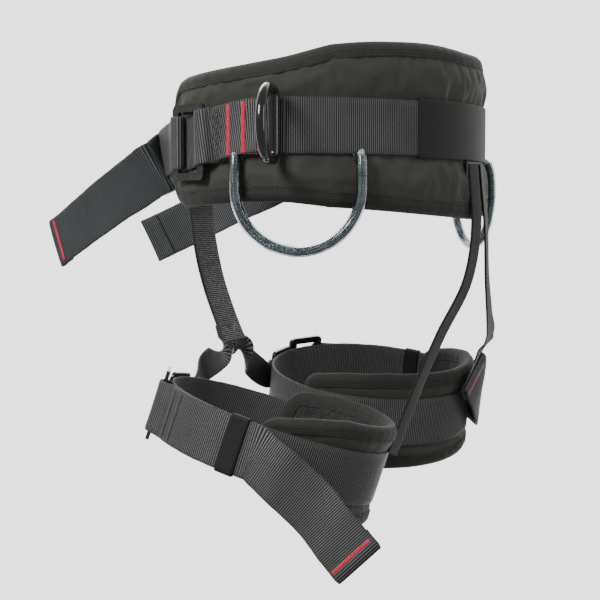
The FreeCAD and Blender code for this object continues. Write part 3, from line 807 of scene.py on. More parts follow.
@dataclass(frozen=True)
class SteelFinish(Finish):
    """Forged steel under a glossy black coat, rubbed through on its corners."""

    coat: Colour = tone(11, 11, 12)
    scuffed: Colour = tone(40, 41, 42)
    bare: Colour = tone(120, 120, 118)

    def dress(self, net: Net, shader: Node) -> None:
        """Set the shader's inputs."""
        solid = net.solid()
        worn = net.effect(EFFECTS.wear, place=solid, amount=0.3).outputs["Mask"]
        fade = net.effect(EFFECTS.fading, place=solid, scale=120.0).outputs["Fade"]
        dust = net.effect(EFFECTS.dust, place=solid, amount=0.05).outputs["Mask"]
        scratched = net.noise(net.node("ShaderNodeVectorMath", {0: solid, 1: (900.0, 900.0, 60.0)},
                                       operation="MULTIPLY").outputs[0], 1.0, 5.0)
        scratch = net.span(scratched, 0.66, 0.74, 0.0, 0.22)
        colour = net.between(net.calc("MAXIMUM", scratch, dust), self.coat, self.scuffed)
        net.put(shader.inputs["Base Color"], net.between(worn, colour, self.bare))
        net.put(shader.inputs["Metallic"], worn)
        rough = net.calc("MULTIPLY_ADD", fade, 0.1, net.calc("MULTIPLY_ADD", scratch, 0.3, 0.12))
        net.put(shader.inputs["Roughness"], rough)
        grain = net.noise(solid, 2200.0, 2.0)
        net.put(shader.inputs["Normal"], net.bump(grain, 0.00002, 0.5))
        shader.inputs["Specular IOR Level"].default_value = 0.6
        shader.inputs["Coat Weight"].default_value = 0.35
        shader.inputs["Coat Roughness"].default_value = 0.08


@dataclass(frozen=True)
class TubeFinish(Finish):
    """Clear flexible tube, slightly clouded and scuffed."""

    tint: Colour = tone(214, 224, 226)
    cloudy: Colour = tone(168, 176, 178)

    def dress(self, net: Net, shader: Node) -> None:
        """Set the shader's inputs."""
        solid = net.solid()
        fade = net.effect(EFFECTS.fading, place=solid, scale=90.0).outputs["Fade"]
        scuff = net.effect(EFFECTS.dust, place=solid, amount=0.4).outputs["Mask"]
        net.put(shader.inputs["Base Color"], net.between(fade, self.tint, self.cloudy))
        net.put(shader.inputs["Roughness"], net.calc("MULTIPLY_ADD", scuff, 0.3, 0.05))
        net.put(shader.inputs["Normal"], net.bump(net.noise(solid, 90.0, 2.0), 0.0002, 0.25))
        shader.inputs["Transmission Weight"].default_value = 1.0
        shader.inputs["IOR"].default_value = 1.42
        shader.inputs["Specular IOR Level"].default_value = 0.7


@dataclass(frozen=True)
class CordFinish(Finish):
    """Braided cord: two sets of strands that cross in diamonds."""

    # Both tones are partly the cord's own grey and partly painted light: the cord is made far paler than
    # itself so that the clear tube round it shows as bright as the tube's reflections.
    light: Colour = tone(196, 201, 204)
    dark: Colour = tone(140, 145, 149)
    strands: float = 8.0
    lay: float = 1.15

    def dress(self, net: Net, shader: Node) -> None:
        """Set the shader's inputs."""
        along, around, _ = net.split(net.cloth())
        ways = []
        for sign in (1.0, -1.0):
            strand = net.calc("MULTIPLY", around, self.strands / 2)
            turn = net.calc("MULTIPLY_ADD", along, sign * self.lay, strand)
            ways.append(net.calc("SINE", turn))
        braid = net.calc("MULTIPLY_ADD", net.calc("MULTIPLY", ways[0], ways[1]), 0.5, 0.5)
        fade = net.effect(EFFECTS.fading, place=net.solid(), scale=80.0).outputs["Fade"]
        share = net.calc("MULTIPLY", braid, net.span(fade, 0.0, 1.0, 0.7, 1.0))
        net.put(shader.inputs["Base Color"], net.between(share, self.dark, self.light))
        net.put(shader.inputs["Roughness"], net.span(braid, 0.0, 1.0, 0.8, 0.55))
        net.put(shader.inputs["Normal"], net.bump(braid, 0.0004, 0.9))
        shader.inputs["Sheen Weight"].default_value = 0.08


WEBBING = WebbingFinish("ribbed webbing", "webbing")
# Webbing for the waist tails, with dimmer, bluer painted highlights on its crests and the same painted shade
# in its gaps.
TAIL_WEBBING = WebbingFinish("tail webbing", "webbing", ridge=tone(88, 94, 97), gap_shade=tone(6, 7, 7),
                             selvedge=tone(34, 36, 37), dust=0.08)
# A darker copy of the webbing: painted shade for the tabs that lie under the belt, with fainter painted
# highlights on their crests.
SHADED_WEBBING = WebbingFinish("shaded webbing", "webbing", ridge=tone(56, 58, 57), gap_shade=tone(3, 3, 3),
                             selvedge=tone(22, 23, 23), dust=0.05)
PAD_CLOTH = WovenFinish("pad cloth", "pad_cloth")
BINDING = WovenFinish("binding tape", "binding_tape", light=tone(52, 53, 48), dark=tone(25, 26, 24),
                      thread=0.5, depth=0.00007, sheen=0.07)
# The elastic's very dark tones are partly its own black and partly painted shade, lowered to match the shaded
# back of the belt where its sleeve lies.
ELASTIC = WovenFinish("knitted elastic", "elastic", light=tone(22, 23, 22), dark=tone(9, 10, 9),
                      thread=0.9, depth=0.00012, sheen=0.08, rough=0.7)
LINING = MeshFinish("spacer mesh", "pad_lining")
RED_THREAD = ThreadFinish("red thread", "red_thread")
BLACK_THREAD = ThreadFinish("black thread", "binding_tape", light=tone(40, 40, 38), dark=tone(10, 10, 10))
STEEL = SteelFinish("black coated steel", "black_steel")
TUBE = TubeFinish("clear tube", "clear_tube")
CORD = CordFinish("braided cord", "loop_cord")


# ---------------------------------------------------------------- placing pieces


def settle(piece: Piece, body: str, finish: Finish, *nodes: str) -> Piece:
    """Make a piece ride on a body and stand for its CAD nodes.

    Args:
        piece: The piece.
        body: The CAD body that it rides on.
        finish: Not used.
        nodes: The CAD nodes that it replaces.

    Returns:
        The same piece.
    """
    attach(piece, body)
    if nodes:
        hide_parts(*nodes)
    LOG.info("%s rides on %s", piece.name, body)
    return piece


def bridge(piece: Piece, bodies: tuple[str, str], start: Sequence[float], end: Sequence[float],
           finish: Finish, *nodes: str) -> Piece:
    """Bake a piece's place into its mesh and hide the CAD nodes that it stands for.

    Args:
        piece: The piece, with its mesh final.
        bodies: The body where it starts and the one where it ends, named only in the log.
        start: Not used.
        end: Not used.
        finish: Not used.
        nodes: The CAD nodes that it replaces.

    Returns:
        The same piece.
    """
    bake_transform(piece)
    if nodes:
        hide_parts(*nodes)
    LOG.info("%s bends between %s and %s", piece.name, *bodies)
    return piece


def coat(nodes: Sequence[str], finish: Finish, bevel: float = 0.0) -> None:
    """Give CAD nodes their finish, and soften their corners.

    Args:
        nodes: Names of the CAD nodes.
        finish: The finish.
        bevel: Width of the softened corners in millimetres, or 0 for none.
    """
    for name in nodes:
        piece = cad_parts[name]
        piece.data.materials.clear()
        piece.data.materials.append(finish.material())
        if bevel:
            corner = piece.modifiers.new("softened corners", "BEVEL")
            corner.width = bevel * MM
            corner.segments = 3
            corner.limit_method = "ANGLE"
            corner.angle_limit = math.radians(40)
            corner.harden_normals = False
        LOG.info("%s has %s", name, finish.name)


# ---------------------------------------------------------------- the body that the harness is cut for


@dataclass(frozen=True)
class WaistOval:
    """The outer face of the waist webbing: four arcs that run into each other."""

    side_centre: float = 75.0
    side_radius: float = 103.0
    depth: float = 136.0

    def arcs(self) -> tuple[tuple[float, float, float, float, float], ...]:
        """Each arc's centre, radius, first angle and last angle."""
        rise = self.depth - self.side_radius
        shift = (self.side_centre**2 - rise**2) / (2 * rise)
        long = self.side_radius + math.hypot(self.side_centre, shift)
        split = math.degrees(math.atan2(shift, self.side_centre))
        return (
            (self.side_centre, 0.0, self.side_radius, -split, split),
            (0.0, -shift, long, split, 180 - split),
            (-self.side_centre, 0.0, self.side_radius, 180 - split, 180 + split),
            (0.0, shift, long, 180 + split, 360 - split),
        )

    def at(self, angle: Array, out: Array = 0.0, height: Array = 0.0) -> Array:
        """Places round the waist.

        Args:
            angle: Angle of the outward normal, in degrees.
            out: Distance outside the webbing's face.
            height: Height above the middle of the webbing.

        Returns:
            The points, one for each angle.
        """
        angle, out, height = np.broadcast_arrays(np.asarray(angle, float), out, height)
        turned = (angle + 90.0) % 360.0 - 90.0
        points = np.zeros(angle.shape + (3,))
        for x, y, radius, first, last in self.arcs():
            for lap in (0.0, -360.0):
                inside = (turned >= first + lap) & (turned <= last + lap)
                turn = np.radians(turned[inside])
                reach = radius + out[inside]
                points[inside] = np.stack([x + reach * np.cos(turn), y + reach * np.sin(turn),
                                           height[inside]], axis=-1)
        return points

    def station(self, side: Side, angle: float, out: float, height: float, wide: float = 1.0) -> Station:
        """A station of a strap that lies upright on the waist."""
        point = self.at(np.array([side.turned(angle)]), out, height)[0]
        return Station(tuple(point), UP, wide)

    def outward(self, angle: Array) -> Array:
        """The outward direction at each angle."""
        turn = np.radians(np.asarray(angle, float))
        return np.stack([np.cos(turn), np.sin(turn), np.zeros_like(turn)], axis=-1)


OVAL = WaistOval()


def droop(angle: Array) -> Array:
    """How far the front of the belt hangs below its middle, by angle on one side."""
    angles = (-42.0, -30.0, -20.0, -12.0, -4.0, 5.0, 14.0)
    return np.interp(angle, angles, (-12.0, -11.0, -9.2, -6.6, -3.2, -0.8, 0.0))


@dataclass(frozen=True)
class LegPlace:
    """One leg loop's own tilted frame, with its ring's middle at the origin."""

    side: Side
    centre: tuple[float, float, float]
    tilt: float = 17.0
    radius: float = 96.0
    roll: float = 7.0

    def turn(self, vectors: Array) -> Array:
        """Turn vectors from the leg's frame to the part's."""
        a, b = math.radians(-self.tilt), math.radians(-self.side.value * self.roll)
        about_x = np.array([[1, 0, 0], [0, math.cos(a), -math.sin(a)], [0, math.sin(a), math.cos(a)]])
        about_y = np.array([[math.cos(b), 0, math.sin(b)], [0, 1, 0], [-math.sin(b), 0, math.cos(b)]])
        return np.asarray(vectors, float) @ (about_x @ about_y).T

    def local(self, points: Array) -> Array:
        """Move points from the leg's frame to the part's."""
        return self.turn(points) + np.array(self.centre)

    def at(self, angle: Array, out: Array = 0.0, height: Array = 0.0) -> Array:
        """Places on the leg loop, by angle on the left side, distance outwards and height."""
        angle, out, height = np.broadcast_arrays(np.asarray(angle, float), out, height)
        turn = np.radians(self.side.turned(angle))
        reach = self.radius + out
        return self.local(np.stack([reach * np.cos(turn), reach * np.sin(turn), height], axis=-1))

    def outward(self, angle: Array) -> Array:
        """The outward direction at each angle."""
        turn = np.radians(self.side.turned(np.asarray(angle, float)))
        return self.turn(np.stack([np.cos(turn), np.sin(turn), np.zeros_like(turn)], axis=-1))

    def station(self, angle: float, out: float, height: float = 0.0, wide: float = 1.0) -> Station:
        """A station of a strap that lies round the leg."""
        point = self.at(np.array([angle]), out, height)[0]
        return Station(tuple(point), tuple(self.turn(np.array(UP))), wide)


LEGS = {
    Side.LEFT: LegPlace(Side.LEFT, (104.0, -6.0, -259.0)),
    Side.RIGHT: LegPlace(Side.RIGHT, (-104.0, 0.0, -242.0), tilt=8.0),
}


# ---------------------------------------------------------------- pads


@dataclass
class Pad:
    """A foam pad between a cover and a lining, with folded tape sewn round its edge."""

    name: str
    body: str
    length: float
    surface: Callable[[Array, Array, Array], Array]
    outward: Callable[[Array], Array]
    top: Callable[[Array], Array]
    low: Callable[[Array], Array]
    strap_height: Callable[[Array], Array]
    strap_half: float
    corner: float
    outer: float
    thick: float
    swell: float = 2.2
    edge_half: float = 2.3
    grid: float = 4.6
    travel: float = 4.0

    def limits(self, s: Array) -> tuple[Array, Array]:
        """The lowest and highest point of the pad at each place along it."""
        near = np.clip(np.minimum(s, self.length - s), 0.0, self.corner)
        rounding = self.corner - np.sqrt(np.maximum(self.corner**2 - (self.corner - near) ** 2, 0.0))
        return -self.low(s) + rounding, self.top(s) - rounding

    def columns(self, step: float) -> Array:
        """Places along the pad, closer together where its corners are round."""
        count = 9
        bend = self.corner * (1 - np.cos(np.linspace(0, math.pi / 2, count)))
        middle = np.linspace(self.corner, self.length - self.corner,
                             int((self.length - 2 * self.corner) / step) + 2)
        return np.concatenate([bend[:-1], middle, self.length - bend[:-1][::-1]])

    def depths(self, s: Array, z: Array, inset: Array) -> tuple[Array, Array]:
        """How far out the cover and the lining lie.

        Args:
            s: Place along the pad.
            z: Height on the pad.
            inset: Distance from the pad's edge.

        Returns:
            The distances of the cover and of the lining outside the webbing's face.
        """
        middle = self.outer - self.thick / 2
        share = np.sqrt(1 - (1 - np.clip(inset / 17.0, 0.0, 1.0)) ** 2)
        half = self.edge_half + (self.thick / 2 - self.edge_half) * share
        clear = np.abs(z - self.strap_height(s)) - self.strap_half
        free = ease(-1.5, 9.0, clear)
        crown = self.swell * free * share
        return middle + half + crown - 0.35 * (1 - free), middle - half - 0.5 * share

    def shell(self) -> tuple[Shape, Array]:
        """The pad's closed body.

        Returns:
            The shape, and for each point how firmly it is held while the pad swells.
        """
        s = self.columns(self.grid)
        low, high = self.limits(s)
        count = int((self.top(s).max() + self.low(s).max()) / self.grid) + 1
        share = (1 - np.cos(np.linspace(0, math.pi, count))) / 2
        share = 0.35 * share + 0.65 * np.linspace(0, 1, count)
        z = low[:, None] + (high - low)[:, None] * share[None]
        s = np.broadcast_to(s[:, None], z.shape)
        inset = np.minimum(np.minimum(z - low[:, None], high[:, None] - z), np.minimum(s, self.length - s))
        cover, lining = self.depths(s, z, inset)
        number = np.arange(z.size).reshape(z.shape)
        rim = np.concatenate([number[:-1, 0], number[-1, :-1], number[:0:-1, -1], number[0, :0:-1]])
        ahead = np.roll(rim, -1)
        cells = quads(number)
        shape = Shape()
        both = np.concatenate([self.surface(s, z, out).reshape(-1, 3) for out in (cover, lining)])
        flat = np.stack([s, z, np.zeros_like(s)], axis=-1).reshape(-1, 3)
        shape.add(both, [cells], np.concatenate([flat, flat]))
        band = np.stack([rim, ahead, ahead + z.size, rim + z.size], axis=1)
        shape.faces.append((band, 0))
        shape.faces.append((cells[:, ::-1] + z.size, 1))
        clear = np.abs(z - self.strap_height(s)) - self.strap_half
        edge_hold = 1 - ease(9.0, 15.0, inset)
        strap_hold = 1 - ease(0.0, 6.0, clear)
        hold = np.concatenate([np.maximum(edge_hold, strap_hold).ravel(), np.maximum(edge_hold, 0.5).ravel()])
        return shape.outward(), hold

    def swell_up(self, piece: Piece, hold: Array) -> None:
        """Let the cover settle over the foam as cloth, held at its edge and under the strap.

        Args:
            piece: The pad's body.
            hold: How firmly each of its points is held.
        """
        scene = bpy.context.scene
        group = piece.vertex_groups.new(name="held")
        for share in range(11):
            chosen = np.nonzero(np.round(hold * 10).astype(int) == share)[0]
            group.add(chosen.tolist(), share / 10, "REPLACE")
        rest = np.zeros(len(piece.data.vertices) * 3, np.float32)
        piece.data.vertices.foreach_get("co", rest)
        rest = rest.reshape(-1, 3)
        cloth = piece.modifiers.new("cover", "CLOTH")
        settings = cloth.settings
        settings.quality = 6
        settings.mass = 0.25
        settings.tension_stiffness = 25
        settings.compression_stiffness = 25
        settings.shear_stiffness = 8
        settings.bending_stiffness = 0.4
        settings.use_pressure = True
        settings.uniform_pressure_force = 4.0
        settings.shrink_min = -0.035
        settings.vertex_group_mass = group.name
        settings.pin_stiffness = 1.0
        settings.effector_weights.gravity = 0.0
        cloth.collision_settings.use_collision = False
        cloth.point_cache.frame_start = 1
        cloth.point_cache.frame_end = CLOTH_FRAMES
        for number in range(1, CLOTH_FRAMES + 1):
            scene.frame_set(number)
        shown = piece.evaluated_get(bpy.context.evaluated_depsgraph_get())
        swollen = np.zeros_like(rest).ravel()
        shown.data.vertices.foreach_get("co", swollen)
        shift = swollen.reshape(-1, 3) - rest
        far = np.linalg.norm(shift, axis=1, keepdims=True)
        shift *= np.minimum(1.0, self.travel * MM / np.maximum(far, 1e-9))
        piece.modifiers.remove(cloth)
        scene.frame_set(1)
        piece.data.vertices.foreach_set("co", (rest + shift).ravel())
        piece.data.update()
        LOG.info("%s swelled by up to %.1f mm", piece.name, float(np.linalg.norm(shift, axis=1).max()) * 1000)

    def outline(self, step: float) -> tuple[Array, Array, Array]:
        """The pad's edge as a closed line.

        Args:
            step: Distance between its points.

        Returns:
            The points, the inward direction at each, and the distance run to each, in the
            pad's flat measure.
        """
        s = self.columns(2.0)
        low, high = self.limits(s)
        ring = np.concatenate([np.stack([s, low], axis=1), np.stack([s, high], axis=1)[::-1]])
        ring = np.concatenate([ring, ring[:1]])
        run = run_along(ring)
        marks = np.linspace(0.0, run[-1], int(run[-1] / step))[:-1]
        points = sample(marks, run, ring)
        ahead = unit(np.roll(points, -2, axis=0) - np.roll(points, 2, axis=0))
        return points, np.stack([-ahead[:, 1], ahead[:, 0]], axis=1), marks

    def on_tape(self, points: Array, inward: Array, inset: Array, lift: Array, face: int) -> Array:
        """Places on the folded tape, at an inset from the edge and a lift off the pad."""
        s, z = points[:, 0] + inward[:, 0] * inset, points[:, 1] + inward[:, 1] * inset
        cover, lining = self.depths(s, z, np.full_like(s, max(float(np.max(inset)), 0.0)))
        out = cover + lift if face > 0 else lining - lift
        return self.surface(s, z, out)

    def binding(self) -> Shape:
        """The folded tape round the pad's edge."""
        points, inward, run = self.outline(1.1)
        loose = 0.16 * np.sin(run / 5.3) + 0.13 * np.sin(run / 2.1 + 1.3) + 0.12 * np.sin(run / 11.7)
        pucker = 0.08 * np.cos(run / 3.1 * 2 * math.pi)
        rows = ((11.1, -0.9), (11.05, 0.35), (10.75, 0.78), (9.9, 0.62), (9.2, 0.52), (8.3, 1.0), (7.3, 0.62),
                (6.2, 1.0), (4.6, 1.25), (3.0, 1.2), (1.5, 1.0), (0.4, 0.9))
        places: list[Array] = []
        marks: list[float] = []
        for inset, lift in rows:
            places.append(self.on_tape(points, inward, inset, lift + (loose + pucker) * (lift > 0), 1))
            marks.append(inset)
        middle = self.outer - self.thick / 2
        nose = self.edge_half + 0.9
        for turn in np.radians((60.0, 30.0, 0.0, -30.0, -60.0)):
            reach = -math.cos(turn) * nose * 0.55
            s, z = points[:, 0] + inward[:, 0] * reach, points[:, 1] + inward[:, 1] * reach
            places.append(self.surface(s, z, middle + math.sin(turn) * nose + loose * 0.4))
            marks.append(reach - 1.0)
        for inset, lift in rows[::-1]:
            places.append(self.on_tape(points, inward, inset, lift + (loose + pucker) * (lift > 0), -1))
            marks.append(-inset - 4.0)
        lattice = np.stack(places, axis=1)
        weave = np.stack(np.broadcast_arrays(run[:, None], np.array(marks)[None], np.ones((1, 1))), axis=-1)
        shape = Shape()
        shape.lattice(lattice, weave, wrap_rows=True)
        return shape.outward()

    def seams(self) -> Shape:
        """Two rows of stitches on each face of the tape."""
        points, inward, _ = self.outline(1.1)
        shape = Shape()
        for face in (1, -1):
            for inset in (9.55, 7.3):
                line = self.on_tape(points, inward, inset, 0.62, face)
                out = self.outward(points[:, 0]) * face
                sew(shape, np.concatenate([line, line[:1]]), np.concatenate([out, out[:1]]), 3.1, 0.3)
        return shape

    def make(self, cover: Finish, nodes: Sequence[str], binding_node: str) -> None:
        """Make the pad, its tape and its seams.

        Args:
            cover: The finish of the cover.
            nodes: The CAD nodes of cover, foam and lining.
            binding_node: The CAD node of the tape.
        """
        shape, hold = self.shell()
        body = shape.piece(self.name, cover, LINING)
        self.swell_up(body, hold)
        smooth = body.modifiers.new("smooth", "SUBSURF")
        smooth.levels = 1
        smooth.render_levels = 1
        settle(body, self.body, cover, *nodes)
        settle(self.binding().piece(f"{self.name}_tape", BINDING), self.body, BINDING, binding_node)
        settle(self.seams().piece(f"{self.name}_seams", BLACK_THREAD), self.body, BLACK_THREAD)


@dataclass
class WaistPad:
    """The wide pad that the belt lies on."""

    front: float = -47.0
    angles: tuple[float, ...] = (-47.0, 0.0, 20.0, 50.0, 70.0, 90.0)
    tops: tuple[float, ...] = (41.0, 47.0, 52.0, 66.0, 69.0, 66.0)
    lows: tuple[float, ...] = (61.0, 58.0, 58.0, 64.0, 69.0, 73.0)
    flare_low: float = 5.0
    flare_top: float = 2.0

    def __post_init__(self) -> None:
        """Measure the distance round the waist."""
        self.turns = np.linspace(self.front, 180.0 - self.front, 1400)
        self.run = run_along(OVAL.at(self.turns))

    def angle(self, s: Array) -> Array:
        """The angle at each distance along the pad."""
        return np.interp(s, self.run, self.turns)

    def near(self, s: Array) -> Array:
        """The same angle folded onto the left side."""
        angle = self.angle(s)
        return np.where(angle > 90.0, 180.0 - angle, angle)

    def level(self, values: Sequence[float]) -> Callable[[Array], Array]:
        """A smooth height along the pad from its heights at the stated angles."""
        raw = np.interp(np.where(self.turns > 90, 180 - self.turns, self.turns), self.angles, values)
        window = np.hanning(121)
        padded = np.pad(raw, 60, mode="edge")
        smooth = np.convolve(padded, window / window.sum(), mode="valid")
        return lambda s: np.interp(s, self.run, smooth)

    def surface(self, s: Array, z: Array, out: Array) -> Array:
        """Places on the pad, which flares below the belt at the back."""
        near = self.near(s)
        rear = ease(0.0, 80.0, near)
        down = ease(22.0, 85.0, -z)
        flare = self.flare_low * down * (0.25 + 0.75 * rear) - self.flare_top * ease(22.0, 75.0, z)
        sag = droop(near) * 0.12
        return OVAL.at(self.angle(s), out + flare, z + sag)

    def make(self) -> None:
        """Make the pad."""
        pad = Pad(
            "waist_pad", "waist", float(self.run[-1]), self.surface,
            lambda s: OVAL.outward(self.angle(s)), self.level(self.tops), self.level(self.lows),
            lambda s: droop(self.near(s)), WEB_HALF, corner=24.0, outer=-2.4, thick=9.6,
        )
        pad.make(PAD_CLOTH, ("back_pad", "back_pad_cover", "back_pad_lining"), "back_pad_binding")


# ---------------------------------------------------------------- the waist


@dataclass
class FlatPart:
    """The plane of a flat buckle part that sits on the waist or on a leg."""

    middle: Array
    along: Array
    out: Array
    up: Array

    @classmethod
    def on_waist(cls, side: Side, angle: float, out: float, height: float) -> "FlatPart":
        """The plane of a part on the waist, with its run towards the wearer's back."""
        turned = side.turned(angle)
        turn = math.radians(turned)
        along = np.array([-math.sin(turn), math.cos(turn), 0.0]) * side.value
        return cls(OVAL.at(np.array([turned]), out, height)[0], along, OVAL.outward(turned), np.array(UP))

    @classmethod
    def on_leg(cls, leg: LegPlace, angle: float, out: float) -> "FlatPart":
        """The plane of a part on a leg loop, with its run towards the leg's back."""
        turn = math.radians(leg.side.turned(angle))
        along = leg.turn(np.array([-math.sin(turn), math.cos(turn), 0.0])) * leg.side.value
        up = leg.turn(np.array(UP))
        return cls(leg.at(np.array([angle]), out)[0], along, leg.outward(angle), up)

    def station(self, along: float, out: float, wide: float = 1.0) -> Station:
        """A station at a place in the part's plane."""
        point = self.middle + self.along * along + self.out * out
        return Station(tuple(point), tuple(self.up), wide)


@dataclass
class Belt:
    """The waist webbing with its sleeve, its rings' loops and their stitching."""

    width: float = 45.0
    thick: float = 2.4
    loop_width: float = 42.0
    loop_end: float = -13.0
    tack_angles: tuple[float, ...] = (-4.0, 3.0, 10.0)

    def make(self) -> None:
        """Make every piece of the belt."""
        self.make_webbing()
        self.make_sleeve()
        for side in Side:
            self.make_ring_loop(side)
        self.make_tacks()

    def make_webbing(self) -> None:
        """The webbing itself, from one buckle frame round the back to the other."""
        marks = ((-42.0, -1.2), (-36.0, -1.25), (-31.0, -1.2), (-27.0, -0.7), (-24.0, 1.4), (-21.6, 5.2),
                 (-19.6, 8.3), (-17.6, 9.0), (-15.6, 7.7), (-13.6, 4.0), (-11.6, 0.3), (-9.0, -1.15),
                 (-4.0, -1.2))
        front = []
        for angle, out in marks:
            wide = 0.96 if -28 < angle < -14 else 1.0
            front.append((angle, out, float(droop(angle)), wide))
        middle = [(float(a), -1.2, float(droop(a)), 1.0) for a in range(0, 91, 5)]
        left = front + middle
        stations = [OVAL.station(Side.LEFT, *mark) for mark in left]
        stations += [OVAL.station(Side.RIGHT, *mark) for mark in left[:-1][::-1]]
        piece = Strap(self.width, self.thick).lay(stations).piece("belt_strap", WEBBING)
        settle(piece, "waist", WEBBING, "belt_webbing")

    def make_sleeve(self) -> None:
        """The smooth elastic sleeve over the back of the belt."""
        stations = [OVAL.station(Side.LEFT, float(a), 0.75, 0.0) for a in np.linspace(65, 115, 15)]
        strap = Strap(48.0, 1.2, pitch=2.4, ridge=0.05, rows=2, sway=0.25)
        settle(strap.lay(stations).piece("belt_sleeve", ELASTIC), "waist", ELASTIC, "back_sleeve")

    def make_ring_loop(self, side: Side) -> None:
        """The doubled webbing that passes under one D-ring's bar."""
        under = ((self.loop_end, 1.3), (-8.0, 1.25), (-2.0, 1.2), (5.0, 1.2), (11.0, 1.2), (16.0, 1.22),
                 (20.5, 1.3))
        over = ((self.loop_end, 3.72), (-8.0, 3.7), (-2.0, 3.66), (5.0, 3.66), (9.5, 3.6), (12.0, 3.1),
                (14.2, 2.3), (16.5, 1.75))
        shape = Shape()
        for layer in (under, over):
            stations = [OVAL.station(side, angle, out, float(droop(angle))) for angle, out in layer]
            Strap(self.loop_width, self.thick).lay(stations, shape)
        piece = shape.piece(f"d_ring_web_{side.tag}", WEBBING)
        settle(piece, "waist", WEBBING, f"d_ring_loop_{side.tag}")

    def on_loop(self, side: Side, angle: float, out: float, slide: Array,
                rise: Array) -> tuple[Array, Array, Array]:
        """Places on the loop's face for its stitching, with the strap's run and outward direction."""
        turned = side.turned(angle) + np.asarray(slide) / math.radians(OVAL.side_radius) * side.value
        height = float(droop(angle)) + np.asarray(rise)
        away = OVAL.outward(turned)
        along = np.cross(np.array(UP), away)
        return OVAL.at(turned, out, height), along, away

    def make_tacks(self) -> None:
        """Red bars of thread, the red thread between them, and the black crosses at the end."""
        red, black = Shape(), Shape()
        face = 2 * self.thick + 0.2
        for side in Side:
            for number, angle in enumerate(self.tack_angles):
                def place(slide: Array, rise: Array, mark: float = angle,
                          side: Side = side) -> tuple[Array, Array, Array]:
                    """Places on the loop's face round one bar of thread."""
                    return self.on_loop(side, mark, face, slide, rise)

                tack(red, place, 3.5, 39.5, 11 + number)
            slide = np.linspace(-6.0, 19.0, 40)
            points, _, away = self.on_loop(side, -1.0, face - 0.05, slide, np.full_like(slide, -19.6))
            sew(red, points, away, 2.6, 0.2)
            rise = np.linspace(-17.0, 17.0, 9)
            for slant in (1.0, -1.0):
                points, along, away = self.on_loop(side, -9.6, face - 0.05, np.zeros_like(rise), rise)
                up = np.cross(away, along)
                stitches(black, points, along * slant + up * 0.9, away, 6.2, 0.3, 0.25)
            for edge in (-3.6, 3.6):
                line = np.linspace(-19.0, 19.0, 60)
                points, _, away = self.on_loop(side, -9.6, face - 0.1, np.full_like(line, edge), line)
                sew(black, points, away, 2.8, 0.28)
        settle(red.piece("waist_red_stitching", RED_THREAD), "waist", RED_THREAD, "waist_bartacks")
        settle(black.piece("waist_black_stitching", BLACK_THREAD), "waist", BLACK_THREAD)


@dataclass
class WaistBuckle:
    """One side's adjuster: the link between frame and plate, and the strap's free tail."""

    side: Side
    width: float = 45.0
    thick: float = 2.4
    frame_angle: float = -27.0
    frame_out: float = 4.5
    frame_height: float = -12.0
    tail: tuple[tuple[float, float, float], ...] = (
        (139.5, -93.5, -30.0), (124.0, -138.0, -50.0), (107.0, -184.0, -73.0), (88.0, -231.0, -97.0),
    )

    def make(self) -> None:
        """Make the link and the tail."""
        self.make_link()
        self.make_tail()

    def make_link(self) -> None:
        """The short strap from behind the frame's front bar to the plate."""
        frame_plane = FlatPart.on_waist(self.side, self.frame_angle, self.frame_out, self.frame_height)
        plate = ((-46.0, 0.9, -15.0), (-50.0, 1.0, -17.5), (-54.0, 0.6, -20.0), (-59.0, -0.6, -22.0))
        stations = [OVAL.station(self.side, *mark) for mark in plate[::-1]]
        stations += [frame_plane.station(along, out) for along, out in
                     ((-23.0, -2.9), (-19.0, -3.0), (-14.0, -2.95), (-11.6, -1.7), (-11.0, 0.0), (-11.6, 1.7),
                      (-14.0, 2.95), (-17.5, 3.0), (-21.0, 2.2), (-23.5, 0.2))]
        upper = ((-45.5, 2.9, -14.6), (-50.0, 3.4, -17.5), (-53.4, 4.8, -19.6), (-55.6, 5.2, -21.0),
                 (-57.0, 4.3, -21.6), (-58.0, 1.6, -22.0), (-58.8, -0.7, -22.0))
        stations += [OVAL.station(self.side, *mark) for mark in upper]
        piece = Strap(43.0, self.thick).lay(stations).piece(f"front_link_web_{self.side.tag}", WEBBING)
        settle(piece, "waist", WEBBING, f"front_link_{self.side.tag}")

    def make_tail(self) -> None:
        """The free tail, which leaves the plate, turns back in a soft bend and hangs forward."""
        sign = self.side.value
        root, *rest = [np.array((sign * x, y, z)) for x, y, z in self.tail]
        bend = ((104.0, -109.6, -21.5), (112.0, -106.4, -22.5), (122.0, -101.6, -24.6), (132.0, -96.6, -27.4),
                (138.6, -93.9, -29.6), (141.4, -95.4, -31.0), (141.4, -99.6, -33.0), (137.8, -108.0, -37.0),
                (131.5, -122.0, -43.4))
        lean = (0.0, 0.1, 0.35, 0.65, 0.9, 1.0, 1.0, 0.9, 0.7, 0.4, 0.15)
        bend = [np.array((sign * x, y, z)) for x, y, z in bend] + rest[:-1]
        tilted = np.array((0.35 * sign, -0.485, 0.81))
        stations = []
        for number, point in enumerate(bend):
            share = lean[number] if number < len(lean) else 0.0
            stations.append(Station(tuple(point), tuple(tilted * share + np.array(UP) * (1 - share))))
        end, before = rest[-1], rest[-2]
        ahead = unit(end - before)
        away = unit(np.cross(ahead, np.array(UP))) * -sign
        up = unit(np.array(UP) - ahead * ahead[2])
        stations += hem(end, ahead, up, away, (22.0, 11.0, 1.0))
        piece = Strap(self.width, self.thick, sway=0.5).lay(stations)
        piece = piece.piece(f"waist_tail_web_{self.side.tag}", TAIL_WEBBING)
        bodies = ("waist", f"waist_tail_{self.side.tag}")
        turn = unit(np.array((sign * 0.75, -0.66, 0.0)))
        bridge(piece, bodies, root, root + turn * 10.0, TAIL_WEBBING, f"waist_tail_{self.side.tag}")
        shape = Shape()
        spot = end - ahead * 8.5 + away * HEM_FACE
        tack(shape, flat_place(spot, ahead, up, away), TACK_PASS, HEM_TACK, 31)
        settle(shape.piece(f"waist_tail_tack_{self.side.tag}", RED_THREAD), bodies[1], RED_THREAD)


